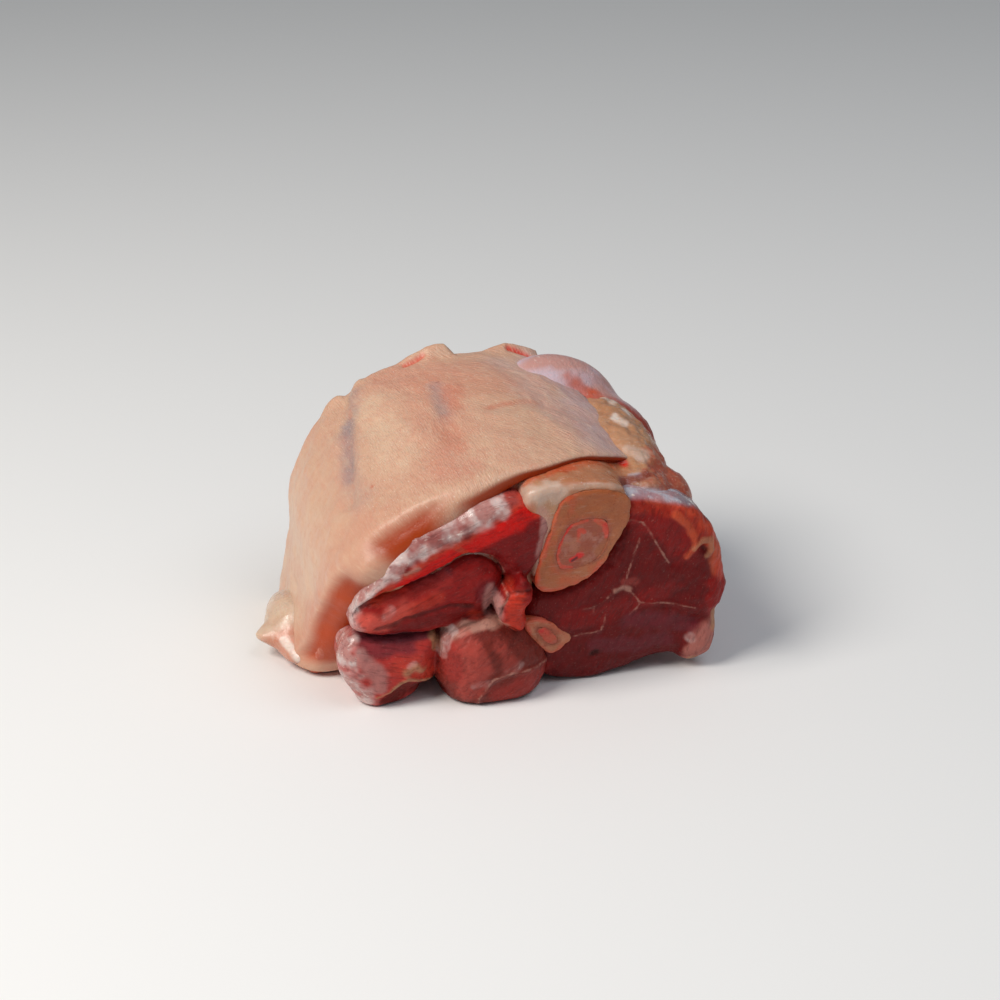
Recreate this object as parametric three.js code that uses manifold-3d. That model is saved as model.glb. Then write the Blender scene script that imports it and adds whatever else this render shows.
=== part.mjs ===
// A raw pork hock: a thick cross-cut slice of the lower leg, lying on its side with the sawn face
// towards -Y. The rind wraps the top and the left flank, the muscles and two bones show at both cuts.
// X runs across the cut face, Y along the bones towards the back, Z up. Units are millimetres.
import * as THREE from "three";
import { mergeVertices } from "three/addons/utils/BufferGeometryUtils.js";
import Module from "manifold-3d";

const wasm = await Module();
wasm.setup();

// ---------------------------------------------------------------- driving dimensions

// Moves the bones' frame, in which everything below is given, to the middle of the footprint.
const FOOTPRINT_SHIFT = new THREE.Vector3(9.75, 2.58, 0);

const TOUCHING_GAP = 0.3; // air between a bone and what it touches
const TRIM_SPAN = 400; // side of the block that trims the meat level with the table
const TRIM_DEPTH = 60;
const PAST_THE_FACE = 20; // how far a cutting run reaches beyond both faces

// The sawn faces. The front one leans forward towards its top.
const FRONT_FOOT_Y = -36;
const FRONT_LEAN = 0.156; // forward travel for each millimetre of height
const BACK_Y = 38;

// The outer section of the leg: a superellipse over straight flanks that flare to the table.
const BODY_CENTRE_X = -2;
const BODY_WAIST_Z = 30;
const BODY_FOOT_Z = -6;
const RIGHT_POWER = 2.2;
const RIGHT_TUCK = 9; // how far the right flank draws in below the waist
const LEFT_FLARE = 7; // how far the left flank spreads below the waist
const BODY_STATIONS = [
  { y: -38, left: 61, right: 53, top: 75, leftPower: 2.05 },
  { y: 0, left: 62, right: 54, top: 80, leftPower: 2.2 },
  { y: 38, left: 60, right: 52, top: 82, leftPower: 2.3 },
];

// The rind sheet, from its right-hand edge over the top and down the left flank to the table.
const RIND_THICKNESS = 4;
const RIND_FOOT_Z = 1;
const RIND_ARC_SHARE = 0.8; // of the sheet's width, over the top; the rest runs down the left flank
const RIND_RIGHT_EDGE = [50, 53, 76]; // degrees round the section at the front, middle and back
const RIND_FRONT_Y = [-37, -35.5, -38, -42, -45, -44, -37, -26, -13]; // front edge, right to left
const RIND_BACK_Y = 40;
const LIP_RADIUS = [1, 1, 2, 5, 9, 11, 10, 8, 5]; // how deep that edge curls in, right to left
const LIP_TURNS = [105, 70, 35]; // degrees round the curl, from its tip
const LIP_LEAST_RADIUS = 0.2;

// Core of lean and fat under the rind, which carries every muscle.
const CORE_INSET = 3;
const CORE_RECESS = [8, 6, 3, 1.5]; // how far it stays behind the sawn face, foot to top
const CORE_BEHIND_RIND = 4; // and behind the rind's front edge on the left

// Muscles: the outline of each at the front face in x and z, how round the rim of its end is, how
// far it stands ahead of the sawn face, and its size and drift at the back.
const MUSCLES = [
  // Upper left
  {
    outline: [[-54, 43], [-51, 51], [-38, 60], [-14, 69.5], [0, 62], [-3, 42], [-12, 37], [-32, 44]],
    rim: 6,
    ahead: 0,
    back: { wide: 0.95, high: 1.1, driftX: 0, driftZ: 7 },
  },
  // Middle left
  {
    outline: [[-58, 31], [-50, 39.5], [-22, 50.5], [-12, 42], [-13, 30], [-34, 23.5], [-52, 24]],
    rim: 6,
    ahead: -1,
    back: { wide: 0.95, high: 1.2, driftX: 0, driftZ: 6 },
  },
  // Lower left
  {
    outline: [[-65, 20], [-60, 28.5], [-40, 24], [-30, 20], [-30, 6], [-36, -4], [-52, -5], [-61, 7]],
    rim: 8,
    ahead: 0,
    back: { wide: 0.9, high: 1.2, driftX: 4, driftZ: 2 },
  },
  // Fat round the shin bone
  {
    outline: [[-5, 42], [-7, 58], [0, 70], [14, 73], [28, 68], [31, 58], [20, 42], [6, 32]],
    rim: 3,
    ahead: -0.5,
    back: { wide: 0.95, high: 1.05, driftX: -1, driftZ: 4 },
  },
  // Round one at the foot
  {
    outline: [[-32, 15], [-26, 27.5], [-13, 28], [-3, 20], [1, 8], [-8, -3], [-24, -2]],
    rim: 11,
    ahead: 5,
    back: { wide: 1, high: 1.2, driftX: 0, driftZ: 3 },
  },
  // Small tongue in the middle
  {
    outline: [[-7, 44], [-5.5, 36], [-8, 26.5], [-15, 29.5], [-14, 39]],
    rim: 4,
    ahead: 5,
    back: { wide: 1, high: 1.1, driftX: 0, driftZ: 4 },
  },
  // Right-hand group
  {
    outline: [
      [24, 65], [36, 63], [49, 54], [58, 38], [57, 22], [54, 9], [43, -2], [16, -3],
      [2, 3], [-5, 25], [2, 36], [19, 45],
    ],
    rim: 9,
    ahead: 0,
    back: { wide: 0.95, high: 1.12, driftX: -2, driftZ: 0 },
  },
];

const BACK_BULGE = 1.2; // how far the muscles stand out of the back face

// Bones, sawn flush with both faces, each with its marrow.
const BONE_AHEAD = 0.8;
const BONE_DRIFT_X = -1; // travel from the front face to the back
const BONE_DRIFT_Z = 2;
const TIBIA = [[3, 67], [12, 69.5], [22, 66], [24, 56], [15, 41], [4, 35], [-2.5, 40], [-1, 55]];
const TIBIA_MARROW = [[3, 44], [4.5, 54], [10, 59.5], [17, 57.5], [18.5, 50], [11, 43]];
const FIBULA = [[-5, 24], [1.5, 25.5], [9, 17], [3, 13], [-2, 17]];
const FIBULA_MARROW = [[-1.5, 21], [2, 22], [5, 18.2], [2, 16.8]];

// Soft lobes that hang off the main form: middle, half sizes and turn about Y in degrees.
const LOBES = [
  { at: [-65, 4, 9], half: [13, 14, 12], turn: 20 }, // fat at the left foot
  { at: [-62, -9, 5], half: [4, 6, 8], turn: 0 }, // hooked tip of the rind
  { at: [49, -33.5, 26], half: [9, 8.5, 9.5], turn: 0 }, // bulge at the right edge
  { at: [46.5, -32.5, 11.5], half: [10, 8.5, 9], turn: -25 }, // tag at the right foot
  { at: [41.5, -25, 54], half: [10, 12, 9], turn: 30 }, // knob on the right shoulder
  { at: [35, -30, 60], half: [10, 10, 6.5], turn: 25 }, // fat ledge over the right muscle
  { at: [35, -3, 61], half: [12, 31, 10], turn: 35 }, // fat strip on the right shoulder
  { at: [32, 13, 50], half: [22.5, 24, 21.5], turn: 0 }, // muscle behind that strip
  { at: [21, 26, 65], half: [22, 14, 17.5], turn: 20 }, // bulge at the back of the shoulder
];

// Torn flap of rind along the back edge of the top, from left to right.
const FLAP_PATH = [[-38, 38.5, 73], [-26, 39.5, 79], [-15, 39, 83], [-7, 38, 86]];
const FLAP_HALF_WIDTH = 3;
const FLAP_HALF_HEIGHT = 1.6;
const FLAP_END_SIZE = 0.6; // of the full section

// Mesh fineness.
const OUTLINE_STEPS = 30;
const BODY_STEPS = 34; // over the top of the core
const RIND_STEPS = 30;
const RIND_ROWS = 7;
const LENGTH_STEPS = 4;
const RIM_ANGLES = [20, 55, 90]; // degrees round the rim of a muscle's end
const LOBE_STEPS = 20;
const FLAP_STEPS = 8;
const FLAP_SIDES = 10;
const BONE_STEPS = 26;
const MARROW_STEPS = 20;

// ---------------------------------------------------------------- small tools

const radians = THREE.MathUtils.degToRad;
const lerp = THREE.MathUtils.lerp;
const signedPower = (value, power) => Math.sign(value) * Math.abs(value) ** power;

// Value at t in 0..1 on a smooth curve through evenly spaced values.
function along(values, t) {
  const place = Math.min(Math.max(t, 0), 1) * (values.length - 1);
  const i = Math.min(Math.floor(place), values.length - 2);
  const f = place - i;
  const ease = f * f * (3 - 2 * f);
  return lerp(values[i], values[i + 1], (f + ease) / 2);
}

// Faces between neighbouring rings of points. The first ring is at the front, and each ring runs
// anticlockwise seen from -Y.
function sideFaces(rings) {
  const count = rings[0].length;
  const faces = [];
  for (let k = 0; k + 1 < rings.length; k++) {
    for (let i = 0; i < count; i++) {
      const j = (i + 1) % count;
      const a = k * count;
      const b = a + count;
      faces.push(a + i, b + i, a + j, a + j, b + i, b + j);
    }
  }
  return faces;
}

// Closed geometry through such rings, with both ends closed on the middle of their ring.
function loft(rings) {
  const count = rings[0].length;
  const middle = (ring) =>
    ring.reduce((sum, p) => sum.add(p), new THREE.Vector3()).divideScalar(count);
  const points = [...rings.flat(), middle(rings[0]), middle(rings.at(-1))];
  const faces = sideFaces(rings);
  const end = (rings.length - 1) * count;
  for (let i = 0; i < count; i++) {
    const j = (i + 1) % count;
    faces.push(points.length - 2, i, j);
    faces.push(points.length - 1, end + j, end + i);
  }
  return new THREE.BufferGeometry().setFromPoints(points).setIndex(faces);
}

// Evenly spaced points on a smooth closed curve through [x, z] pairs.
function outlinePoints(pairs, steps) {
  const knots = pairs.map(([x, z]) => new THREE.Vector3(x, 0, z));
  const points = new THREE.CatmullRomCurve3(knots, true).getSpacedPoints(steps).slice(0, steps);
  return THREE.ShapeUtils.area(points.map((p) => new THREE.Vector2(p.x, p.z))) < 0
    ? points.reverse()
    : points;
}

// The same closed outline moved outwards by a distance.
function grown(points, distance) {
  return points.map((p, i) => {
    const before = points.at(i - 1);
    const after = points[(i + 1) % points.length];
    const side = new THREE.Vector3(after.z - before.z, 0, before.x - after.x).normalize();
    return p.clone().addScaledVector(side, distance);
  });
}

function solid(geometry) {
  const bare = new THREE.BufferGeometry();
  bare.setAttribute("position", geometry.getAttribute("position"));
  bare.setIndex(geometry.index);
  const merged = mergeVertices(bare, 1e-4);
  const vertProperties = new Float32Array(merged.attributes.position.array);
  const triVerts = new Uint32Array(merged.index.array);
  return new wasm.Manifold(new wasm.Mesh({ numProp: 3, vertProperties, triVerts }));
}

function geometryOf(manifold) {
  const mesh = manifold.getMesh();
  const geometry = new THREE.BufferGeometry();
  geometry.setAttribute("position", new THREE.BufferAttribute(mesh.vertProperties, 3));
  geometry.setIndex(new THREE.BufferAttribute(mesh.triVerts, 1));
  return geometry;
}

// ---------------------------------------------------------------- the leg's outer form

const frontY = (z, ahead) => FRONT_FOOT_Y - FRONT_LEAN * z - ahead;

// Width, height and roundness of the section at y, on a parabola through the three stations.
function sectionAt(y) {
  const [front, middle, back] = BODY_STATIONS;
  const f = (y - middle.y) / (back.y - middle.y);
  const blend = (key) =>
    (front[key] * f * (f - 1)) / 2 + middle[key] * (1 - f * f) + (back[key] * f * (f + 1)) / 2;
  return {
    left: blend("left"),
    right: blend("right"),
    top: blend("top"),
    leftPower: blend("leftPower"),
  };
}

// Point on the upper arc: angle 0 is the right waist, 90 degrees the top, 180 the left waist.
function arcPoint(angle, y, inset) {
  const section = sectionAt(y);
  const onLeft = Math.cos(angle) < 0;
  const width = (onLeft ? section.left : section.right) - inset;
  const power = 2 / (onLeft ? section.leftPower : RIGHT_POWER);
  const x = BODY_CENTRE_X + width * signedPower(Math.cos(angle), power);
  const rise = section.top - BODY_WAIST_Z - inset;
  return new THREE.Vector3(x, y, BODY_WAIST_Z + rise * Math.abs(Math.sin(angle)) ** power);
}

// Point on a flank below the waist: side is 1 for the right and -1 for the left.
function flankPoint(side, z, y, inset) {
  const section = sectionAt(y);
  const depth = (BODY_WAIST_Z - z) / (BODY_WAIST_Z - BODY_FOOT_Z);
  const reach = side > 0 ? section.right - RIGHT_TUCK * depth : section.left + LEFT_FLARE * depth;
  return new THREE.Vector3(BODY_CENTRE_X + side * (reach - inset), y, z);
}

// ---------------------------------------------------------------- the meat

const rightEdgeOf = (y) =>
  radians(along(RIND_RIGHT_EDGE, (y - FRONT_FOOT_Y) / (BACK_Y - FRONT_FOOT_Y)));

// Point of the rind: share is 0 at its right edge and 1 where it meets the table.
function rindPoint(share, y, inset) {
  if (share <= RIND_ARC_SHARE) {
    return arcPoint(lerp(rightEdgeOf(y), Math.PI, share / RIND_ARC_SHARE), y, inset);
  }
  const downFlank = (share - RIND_ARC_SHARE) / (1 - RIND_ARC_SHARE);
  return flankPoint(-1, lerp(BODY_WAIST_Z, RIND_FOOT_Z, downFlank), y, inset);
}

// The share at which a point of the section lies under the rind's front edge.
function shareAtFront(angle, z) {
  if (angle < Math.PI) {
    const edge = rightEdgeOf(FRONT_FOOT_Y);
    return (RIND_ARC_SHARE * (angle - edge)) / (Math.PI - edge);
  }
  const downFlank = (BODY_WAIST_Z - z) / (BODY_WAIST_Z - RIND_FOOT_Z);
  return lerp(RIND_ARC_SHARE, 1, downFlank);
}

// Lean and fat under the rind. Its front end follows the sawn face, and on the left the rind's edge.
function coreGeometry() {
  const spots = [];
  for (let i = 0; i < BODY_STEPS; i++) {
    const angle = (Math.PI * i) / (BODY_STEPS - 1);
    spots.push({ angle, pointAt: (y) => arcPoint(angle, y, CORE_INSET) });
  }
  for (const z of [BODY_WAIST_Z / 2, BODY_FOOT_Z]) {
    spots.push({ angle: Math.PI, pointAt: (y) => flankPoint(-1, z, y, CORE_INSET) });
  }
  for (const z of [BODY_FOOT_Z, BODY_WAIST_Z / 2]) {
    spots.push({ angle: 0, pointAt: (y) => flankPoint(1, z, y, CORE_INSET) });
  }
  const startOf = ({ angle, pointAt }) => {
    const z = Math.max(pointAt(FRONT_FOOT_Y).z, 0);
    const behindFace = frontY(z, -along(CORE_RECESS, z / BODY_STATIONS[0].top));
    if (angle < Math.PI / 2) {
      return behindFace;
    }
    const rindEdge = along(RIND_FRONT_Y, shareAtFront(angle, z));
    return Math.max(behindFace, rindEdge + CORE_BEHIND_RIND);
  };
  const rings = [];
  for (let k = 0; k <= LENGTH_STEPS; k++) {
    rings.push(spots.map((spot) => spot.pointAt(lerp(startOf(spot), BACK_Y, k / LENGTH_STEPS))));
  }
  return loft(rings);
}

// One face of the rind sheet at a depth below its skin: rows of points from the curled lip back.
function rindLayer(depth) {
  const shares = Array.from({ length: RIND_STEPS + 1 }, (_, i) => i / RIND_STEPS);
  const radiusAt = (share) => along(LIP_RADIUS, share);
  const lipStart = (share) => along(RIND_FRONT_Y, share) + radiusAt(share);
  const rows = LIP_TURNS.map(radians).map((turn) =>
    shares.map((share) => {
      const reach = Math.max(radiusAt(share) - depth, LIP_LEAST_RADIUS);
      const inset = radiusAt(share) - reach * Math.cos(turn);
      return rindPoint(share, lipStart(share) - reach * Math.sin(turn), inset);
    }),
  );
  for (let k = 0; k <= RIND_ROWS; k++) {
    rows.push(
      shares.map((share) => {
        const y = lerp(lipStart(share), RIND_BACK_Y, k / RIND_ROWS);
        return rindPoint(share, y, depth);
      }),
    );
  }
  return rows;
}

// The rind as a sheet of even thickness: each ring runs out along its skin and back along its
// inner face, and a strip closes the sheet at the lip and at the back.
function rindGeometry() {
  const inner = rindLayer(RIND_THICKNESS);
  const rings = rindLayer(0).map((row, k) => [...row, ...inner[k].reverse()]);
  const faces = sideFaces(rings);
  const count = rings[0].length;
  const back = (rings.length - 1) * count;
  for (let i = 0; i < RIND_STEPS; i++) {
    const facing = count - 1 - i;
    faces.push(i, i + 1, facing, i + 1, facing - 1, facing);
    faces.push(back + i, back + facing, back + i + 1);
    faces.push(back + i + 1, back + facing, back + facing - 1);
  }
  return new THREE.BufferGeometry().setFromPoints(rings.flat()).setIndex(faces);
}

// A muscle running from the front face to the back one, with both ends bulging.
function muscleGeometry({ outline, rim, ahead, back }) {
  const edge = outlinePoints(outline, OUTLINE_STEPS);
  const centre = edge
    .reduce((sum, p) => sum.add(p), new THREE.Vector3())
    .divideScalar(edge.length);
  const section = (t, shape, yOf) =>
    shape.map((p) => {
      const x = centre.x + back.driftX * t + (p.x - centre.x) * lerp(1, back.wide, t);
      const z = centre.z + back.driftZ * t + (p.z - centre.z) * lerp(1, back.high, t);
      return new THREE.Vector3(x, yOf(z), z);
    });
  const rings = [];
  const turns = RIM_ANGLES.map(radians);
  const drawnIn = (turn) => grown(edge, -rim * (1 - Math.sin(turn)));
  const setBack = (turn) => rim * (1 - Math.cos(turn));
  for (const turn of turns) {
    rings.push(section(0, drawnIn(turn), (z) => frontY(z, ahead) + setBack(turn)));
  }
  for (let k = 1; k < LENGTH_STEPS; k++) {
    const t = k / LENGTH_STEPS;
    rings.push(section(t, edge, (z) => lerp(frontY(z, ahead) + rim, BACK_Y - rim, t)));
  }
  for (const turn of turns.reverse()) {
    rings.push(section(1, drawnIn(turn), () => BACK_Y + BACK_BULGE - setBack(turn)));
  }
  return loft(rings);
}

function lobeGeometry({ at, half, turn }) {
  return new THREE.SphereGeometry(1, LOBE_STEPS, LOBE_STEPS / 2)
    .scale(...half)
    .rotateY(radians(turn))
    .translate(...at);
}

// A thin strip along a path, tapering to both ends.
function flapGeometry() {
  const path = new THREE.CatmullRomCurve3(FLAP_PATH.map((p) => new THREE.Vector3(...p)));
  const rings = [];
  for (let k = 0; k <= FLAP_STEPS; k++) {
    const t = k / FLAP_STEPS;
    const size = lerp(FLAP_END_SIZE, 1, Math.sin(Math.PI * t));
    const ring = [];
    for (let i = 0; i < FLAP_SIDES; i++) {
      const angle = (2 * Math.PI * i) / FLAP_SIDES;
      const across = -size * FLAP_HALF_WIDTH * Math.cos(angle);
      const up = size * FLAP_HALF_HEIGHT * Math.sin(angle);
      ring.push(path.getPointAt(t).add(new THREE.Vector3(0, across, up)));
    }
    rings.push(ring);
  }
  return loft(rings);
}

// ---------------------------------------------------------------- bones

// A straight run of an outline from beyond the front face to beyond the back one.
function runGeometry(edge, extra) {
  const rings = [0, 1].map((end) =>
    edge.map((p) => {
      const y = end ? BACK_Y + BONE_AHEAD + extra : frontY(p.z, BONE_AHEAD + extra);
      const t = (y - FRONT_FOOT_Y) / (BACK_Y - FRONT_FOOT_Y);
      return new THREE.Vector3(p.x + BONE_DRIFT_X * t, y, p.z + BONE_DRIFT_Z * t);
    }),
  );
  return loft(rings);
}

function boneWithMarrow(outline, marrowOutline) {
  const edge = outlinePoints(outline, BONE_STEPS);
  const marrowEdge = outlinePoints(marrowOutline, MARROW_STEPS);
  const bore = solid(runGeometry(grown(marrowEdge, TOUCHING_GAP), PAST_THE_FACE));
  return {
    bone: solid(runGeometry(edge, 0)).subtract(bore),
    marrow: solid(runGeometry(marrowEdge, -TOUCHING_GAP)),
    channel: solid(runGeometry(grown(edge, TOUCHING_GAP), PAST_THE_FACE)),
  };
}

// ---------------------------------------------------------------- assembly

const tibia = boneWithMarrow(TIBIA, TIBIA_MARROW);
const fibula = boneWithMarrow(FIBULA, FIBULA_MARROW);

function meatSolid() {
  const pieces = [
    rindGeometry(),
    flapGeometry(),
    ...MUSCLES.map(muscleGeometry),
    ...LOBES.map(lobeGeometry),
  ];
  let whole = solid(coreGeometry());
  for (const piece of pieces) {
    whole = whole.add(solid(piece));
  }
  const belowTable = new THREE.BoxGeometry(TRIM_SPAN, TRIM_SPAN, TRIM_DEPTH);
  belowTable.translate(0, 0, -TRIM_DEPTH / 2);
  const skins = whole.subtract(solid(belowTable)).decompose();
  const filled = skins.reduce((a, b) => (a.volume() > b.volume() ? a : b));
  return filled.subtract(tibia.channel).subtract(fibula.channel);
}

function mesh(name, manifold, color, roughness) {
  const material = new THREE.MeshStandardMaterial({ color, roughness, metalness: 0 });
  material.flatShading = true;
  const made = new THREE.Mesh(geometryOf(manifold), material);
  made.name = name;
  return made;
}

const slice = new THREE.Group();
slice.position.copy(FOOTPRINT_SHIFT);
slice.add(
  mesh("meat", meatSolid(), 0xb9625a, 0.5),
  mesh("tibia", tibia.bone, 0xc9a77c, 0.6),
  mesh("tibia_marrow", tibia.marrow, 0xc98a70, 0.5),
  mesh("fibula", fibula.bone, 0xc9a77c, 0.6),
  mesh("fibula_marrow", fibula.marrow, 0xc46a50, 0.5),
);

const hock = new THREE.Group();
hock.name = "pork_hock";
hock.add(slice);

export default hock;
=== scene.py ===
import functools
import itertools
import math

import bpy
import numpy as np
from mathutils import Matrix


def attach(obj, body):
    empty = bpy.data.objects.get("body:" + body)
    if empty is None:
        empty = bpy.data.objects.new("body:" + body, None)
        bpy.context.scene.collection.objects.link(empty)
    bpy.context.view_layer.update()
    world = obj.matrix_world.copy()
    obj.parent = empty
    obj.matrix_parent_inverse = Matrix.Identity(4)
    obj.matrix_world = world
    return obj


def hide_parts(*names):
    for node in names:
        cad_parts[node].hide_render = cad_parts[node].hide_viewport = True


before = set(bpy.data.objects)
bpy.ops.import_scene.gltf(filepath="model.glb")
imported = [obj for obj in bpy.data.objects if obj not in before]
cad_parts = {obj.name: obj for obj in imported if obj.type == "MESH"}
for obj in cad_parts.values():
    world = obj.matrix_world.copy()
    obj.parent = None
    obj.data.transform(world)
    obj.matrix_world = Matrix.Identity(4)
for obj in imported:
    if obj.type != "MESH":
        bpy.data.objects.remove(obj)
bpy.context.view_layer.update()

import openvdb
from mathutils import Vector

# ---------------------------------------------------------------- driving dimensions

MM = 0.001
FOOTPRINT_SHIFT = np.array([9.75, 2.58, 0.0])

# The sawn faces. The front one leans forward towards its top.
FRONT_FOOT_Y = -36.0
FRONT_LEAN = 0.156
BACK_Y = 38.0

# The outer section of the leg: a superellipse over straight flanks that flare to the table.
BODY_CENTRE_X = -2.0
BODY_WAIST_Z = 30.0
BODY_FOOT_Z = -6.0
RIGHT_POWER = 2.2
RIGHT_TUCK = 9.0
LEFT_FLARE = 7.0
STATION_Y = 38.0
BODY_LEFT = (61.0, 62.0, 60.0)
BODY_RIGHT = (53.0, 54.0, 52.0)
BODY_TOP = (75.0, 80.0, 82.0)
BODY_LEFT_POWER = (2.05, 2.2, 2.3)

RIND_THICKNESS = 4.0
RIND_FOOT_Z = (2.2, 2.6, 3.0, 3.0, 3.5, 2.0, 1.0)  # from the front corner to the back
RIND_ARC_SHARE = 0.8
RIND_RIGHT_EDGE = (50.0, 54.0, 67.0)
RIND_FRONT_Y = (-26.5, -33.0, -39.8, -44.0, -45.0, -44.0, -37.0, -26.5, -16.5)
RIND_BACK_Y = 40.0
RIND_WIDTH = 165.0  # from the right-hand edge to the table, over the skin
LIP_RADIUS = (1.0, 1.0, 2.0, 5.0, 9.0, 11.0, 10.5, 10.5, 12.0)

CORE_INSET = 3.4
CORE_RECESS = (8.0, 6.0, 3.0, 1.5)
BACK_BULGE = 1.2

# Muscles: outline at the front face, how round the rim of its end is, how far it stands ahead of
# the sawn face, how much it crowns, its colour, the direction of its fibres, and its size and drift
# at the back.
MUSCLES = {
    "upper_left": dict(
        outline=[(-57, 32.5), (-56, 37), (-52.8, 43), (-48.5, 50.2), (-44.5, 54.5), (-38, 60),
                 (-26, 65), (-14, 69), (-4.5, 67), (2, 62), (0.8, 53), (-1.8, 43), (-8, 38.5), (-12, 42),
                 (-14.5, 48), (-21, 51), (-26.5, 49.8), (-35.5, 44), (-47.3, 40.3), (-54.5, 36.5)],
        rim=4.5, ahead=0.3, crown=1.0, colour="maroon", fibre=20, wide=0.95, high=1.1,
        drift=(0, 7)),
    "middle_left": dict(
        outline=[(-57.4, 30), (-56, 35), (-53, 38.6), (-47, 39.8), (-35.4, 43.5), (-26.3, 49.6),
                 (-20, 51), (-15, 47.5), (-12, 43.8), (-12, 38), (-14, 33), (-16, 29), (-23.5, 26.5),
                 (-29, 24), (-42, 23.8), (-51, 24.8), (-55.8, 27)],
        rim=5, ahead=-0.6, crown=1.6, colour="brown_red", fibre=25, wide=0.95, high=1.2,
        drift=(0, 6)),
    "lower_left": dict(
        outline=[(-60, 21.5), (-56.5, 24.5), (-52, 24.5), (-42, 23.7), (-31.3, 23.6), (-30.8, 13),
                 (-31.6, 7), (-34.5, 3.5), (-38.5, 0), (-46, -4), (-53, -4), (-57, 4),
                 (-60.5, 11), (-61.5, 16.5)],
        rim=7, ahead=0.5, crown=1.2, colour="film_red", fibre=-15, wide=0.9, high=1.2, drift=(9, 2)),
    "round": dict(
        outline=[(-31.5, 13), (-30.5, 22), (-24, 28.5), (-13, 28.5), (-3.5, 22), (3, 11), (0.5, 0),
                 (-8, -6), (-22, -6), (-30, 2)],
        rim=12, ahead=8, crown=0.5, colour="round_red", fibre=40, wide=1, high=1.2, drift=(0, 3)),
    "tongue": dict(
        outline=[(-7.6, 44), (-4.6, 40), (-4.4, 36.5), (-6.5, 32), (-6.2, 26), (-9, 24.8),
                 (-13, 28.2), (-15, 33), (-14.4, 37.5), (-10.5, 40.5)],
        rim=3.5, ahead=7, crown=0.8, colour="tongue", fibre=0, wide=1, high=1.1, drift=(0, 4)),
    # The right muscle's deep red is its own colour made darker as painted shade on the side away from
    # the lamp.
    "right": dict(
        outline=[(23, 64.5), (34, 63.2), (45, 58.8), (52, 51), (56, 43), (57.8, 35.5), (59, 27),
                 (57.5, 19.5), (54, 12), (48, 6.5), (42, 4.6), (34, 3), (26, 0.5), (16, -3), (2, 3),
                 (-3, 15), (-5, 25), (-2, 34), (8, 36), (17, 43), (22.5, 52)],
        rim=5.5, ahead=0, crown=0.8, colour="deep_red_and_shade", fibre=70, wide=0.95, high=1.12, drift=(-2, 0)),
}

# Soft lobes that hang off the main form: middle, half sizes and turn about Y in degrees.
LEAN_LOBES = {
    "right_bulge": ((50, -33.5, 26.5), (9.2, 8.3, 9.3), 0),
    "foot_tag": ((50.5, -34, 11), (6.4, 7.2, 9.2), 20),
    "back_muscle": ((30.2, 13, 51.2), (22.0, 23.8, 21.6), 0),
    "back_shoulder": ((23, 26, 64.2), (21.8, 13.8, 17.3), 22),
}
FAT_LOBES = {
    "shoulder_knob": ((41.5, -25, 54), (9.8, 11.8, 8.8), 30),
    "ledge": ((34, -31, 60.5), (9.8, 9.2, 5.6), 25),
    "strip": ((34.5, -3, 62.5), (13.2, 30.8, 9.8), 38),
}
FOOT_LOBES = {
    "flap": ((-66.8, 11, 8.5), (8.2, 13.5, 7.8), -20),
    "fold": ((-71, 5, 7.6), (5.6, 6.5, 3.8), 0),
    "point": ((-76, 4, 7.5), (3.2, 2.6, 1.6), 5),
    "under": ((-66.5, -1, 5), (6.5, 10, 4), 0),
}

SHIN_FAT = dict(
    outline=[(-3.6, 42), (-2, 52), (-2.4, 60), (-7, 65.5), (-5, 71), (4, 72.5), (14, 72),
             (22, 69), (24, 63), (18, 47), (4, 37)],
    rim=2.5, ahead=0.2, crown=0, wide=0.95, high=1.05, drift=(-1, 4))

# The rind's back edge is torn and lifts: by how much, at shares of the rind's width.
FLAP_LIFT = [(0.0, 1.2), (0.02, 1.9), (0.052, 2.1), (0.085, 1.9), (0.11, 0.5), (0.135, -1.0),
             (0.165, -1.2), (0.185, -0.8), (0.193, 1.4), (0.201, 3.2), (0.215, 3.6), (0.235, 3.4),
             (0.262, 1.9), (0.29, 0.5), (0.305, 0.0), (0.381, 0.0), (0.395, 0.6), (0.45, 0.0),
             (0.461, 1.2), (0.524, 0.0)]

# Bones, each with its marrow. They stand a little proud of both sawn faces and drift towards the
# back.
BONE_AHEAD = 0.8
BONE_DRIFT_X = -1.0
BONE_DRIFT_Z = 2.0
TIBIA = [(3, 65.5), (6, 68.3), (12.8, 69.3), (19.5, 68.2), (24.3, 65), (25, 60.5), (24.4, 56),
         (20.8, 48.8), (18.7, 44), (15.3, 39.9), (11, 37), (4.5, 35), (0, 35.4), (-2.4, 37.6),
         (-2.3, 44.5), (-0.7, 51), (1, 57.5)]
TIBIA_MARROW = [(3.4, 46), (3.4, 50.5), (4.9, 54.5), (6.8, 58), (11.6, 59.6), (16.8, 58.9),
                (18.8, 55), (18.2, 49.5), (16, 45.7), (13.6, 43.8), (9.2, 42.6), (5, 43)]
FIBULA = [(-5, 25.2), (-1.5, 26), (2.2, 24.6), (6, 21.4), (9.7, 17.6), (7.4, 14.2), (4.2, 12),
          (1.8, 13.2), (-1.6, 17), (-4.3, 21)]
FIBULA_MARROW = [(-1.2, 22.2), (1.6, 21.9), (5, 18.3), (5, 16), (3, 15.8), (0, 18.8)]

# ---------------------------------------------------------------- colours

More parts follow.
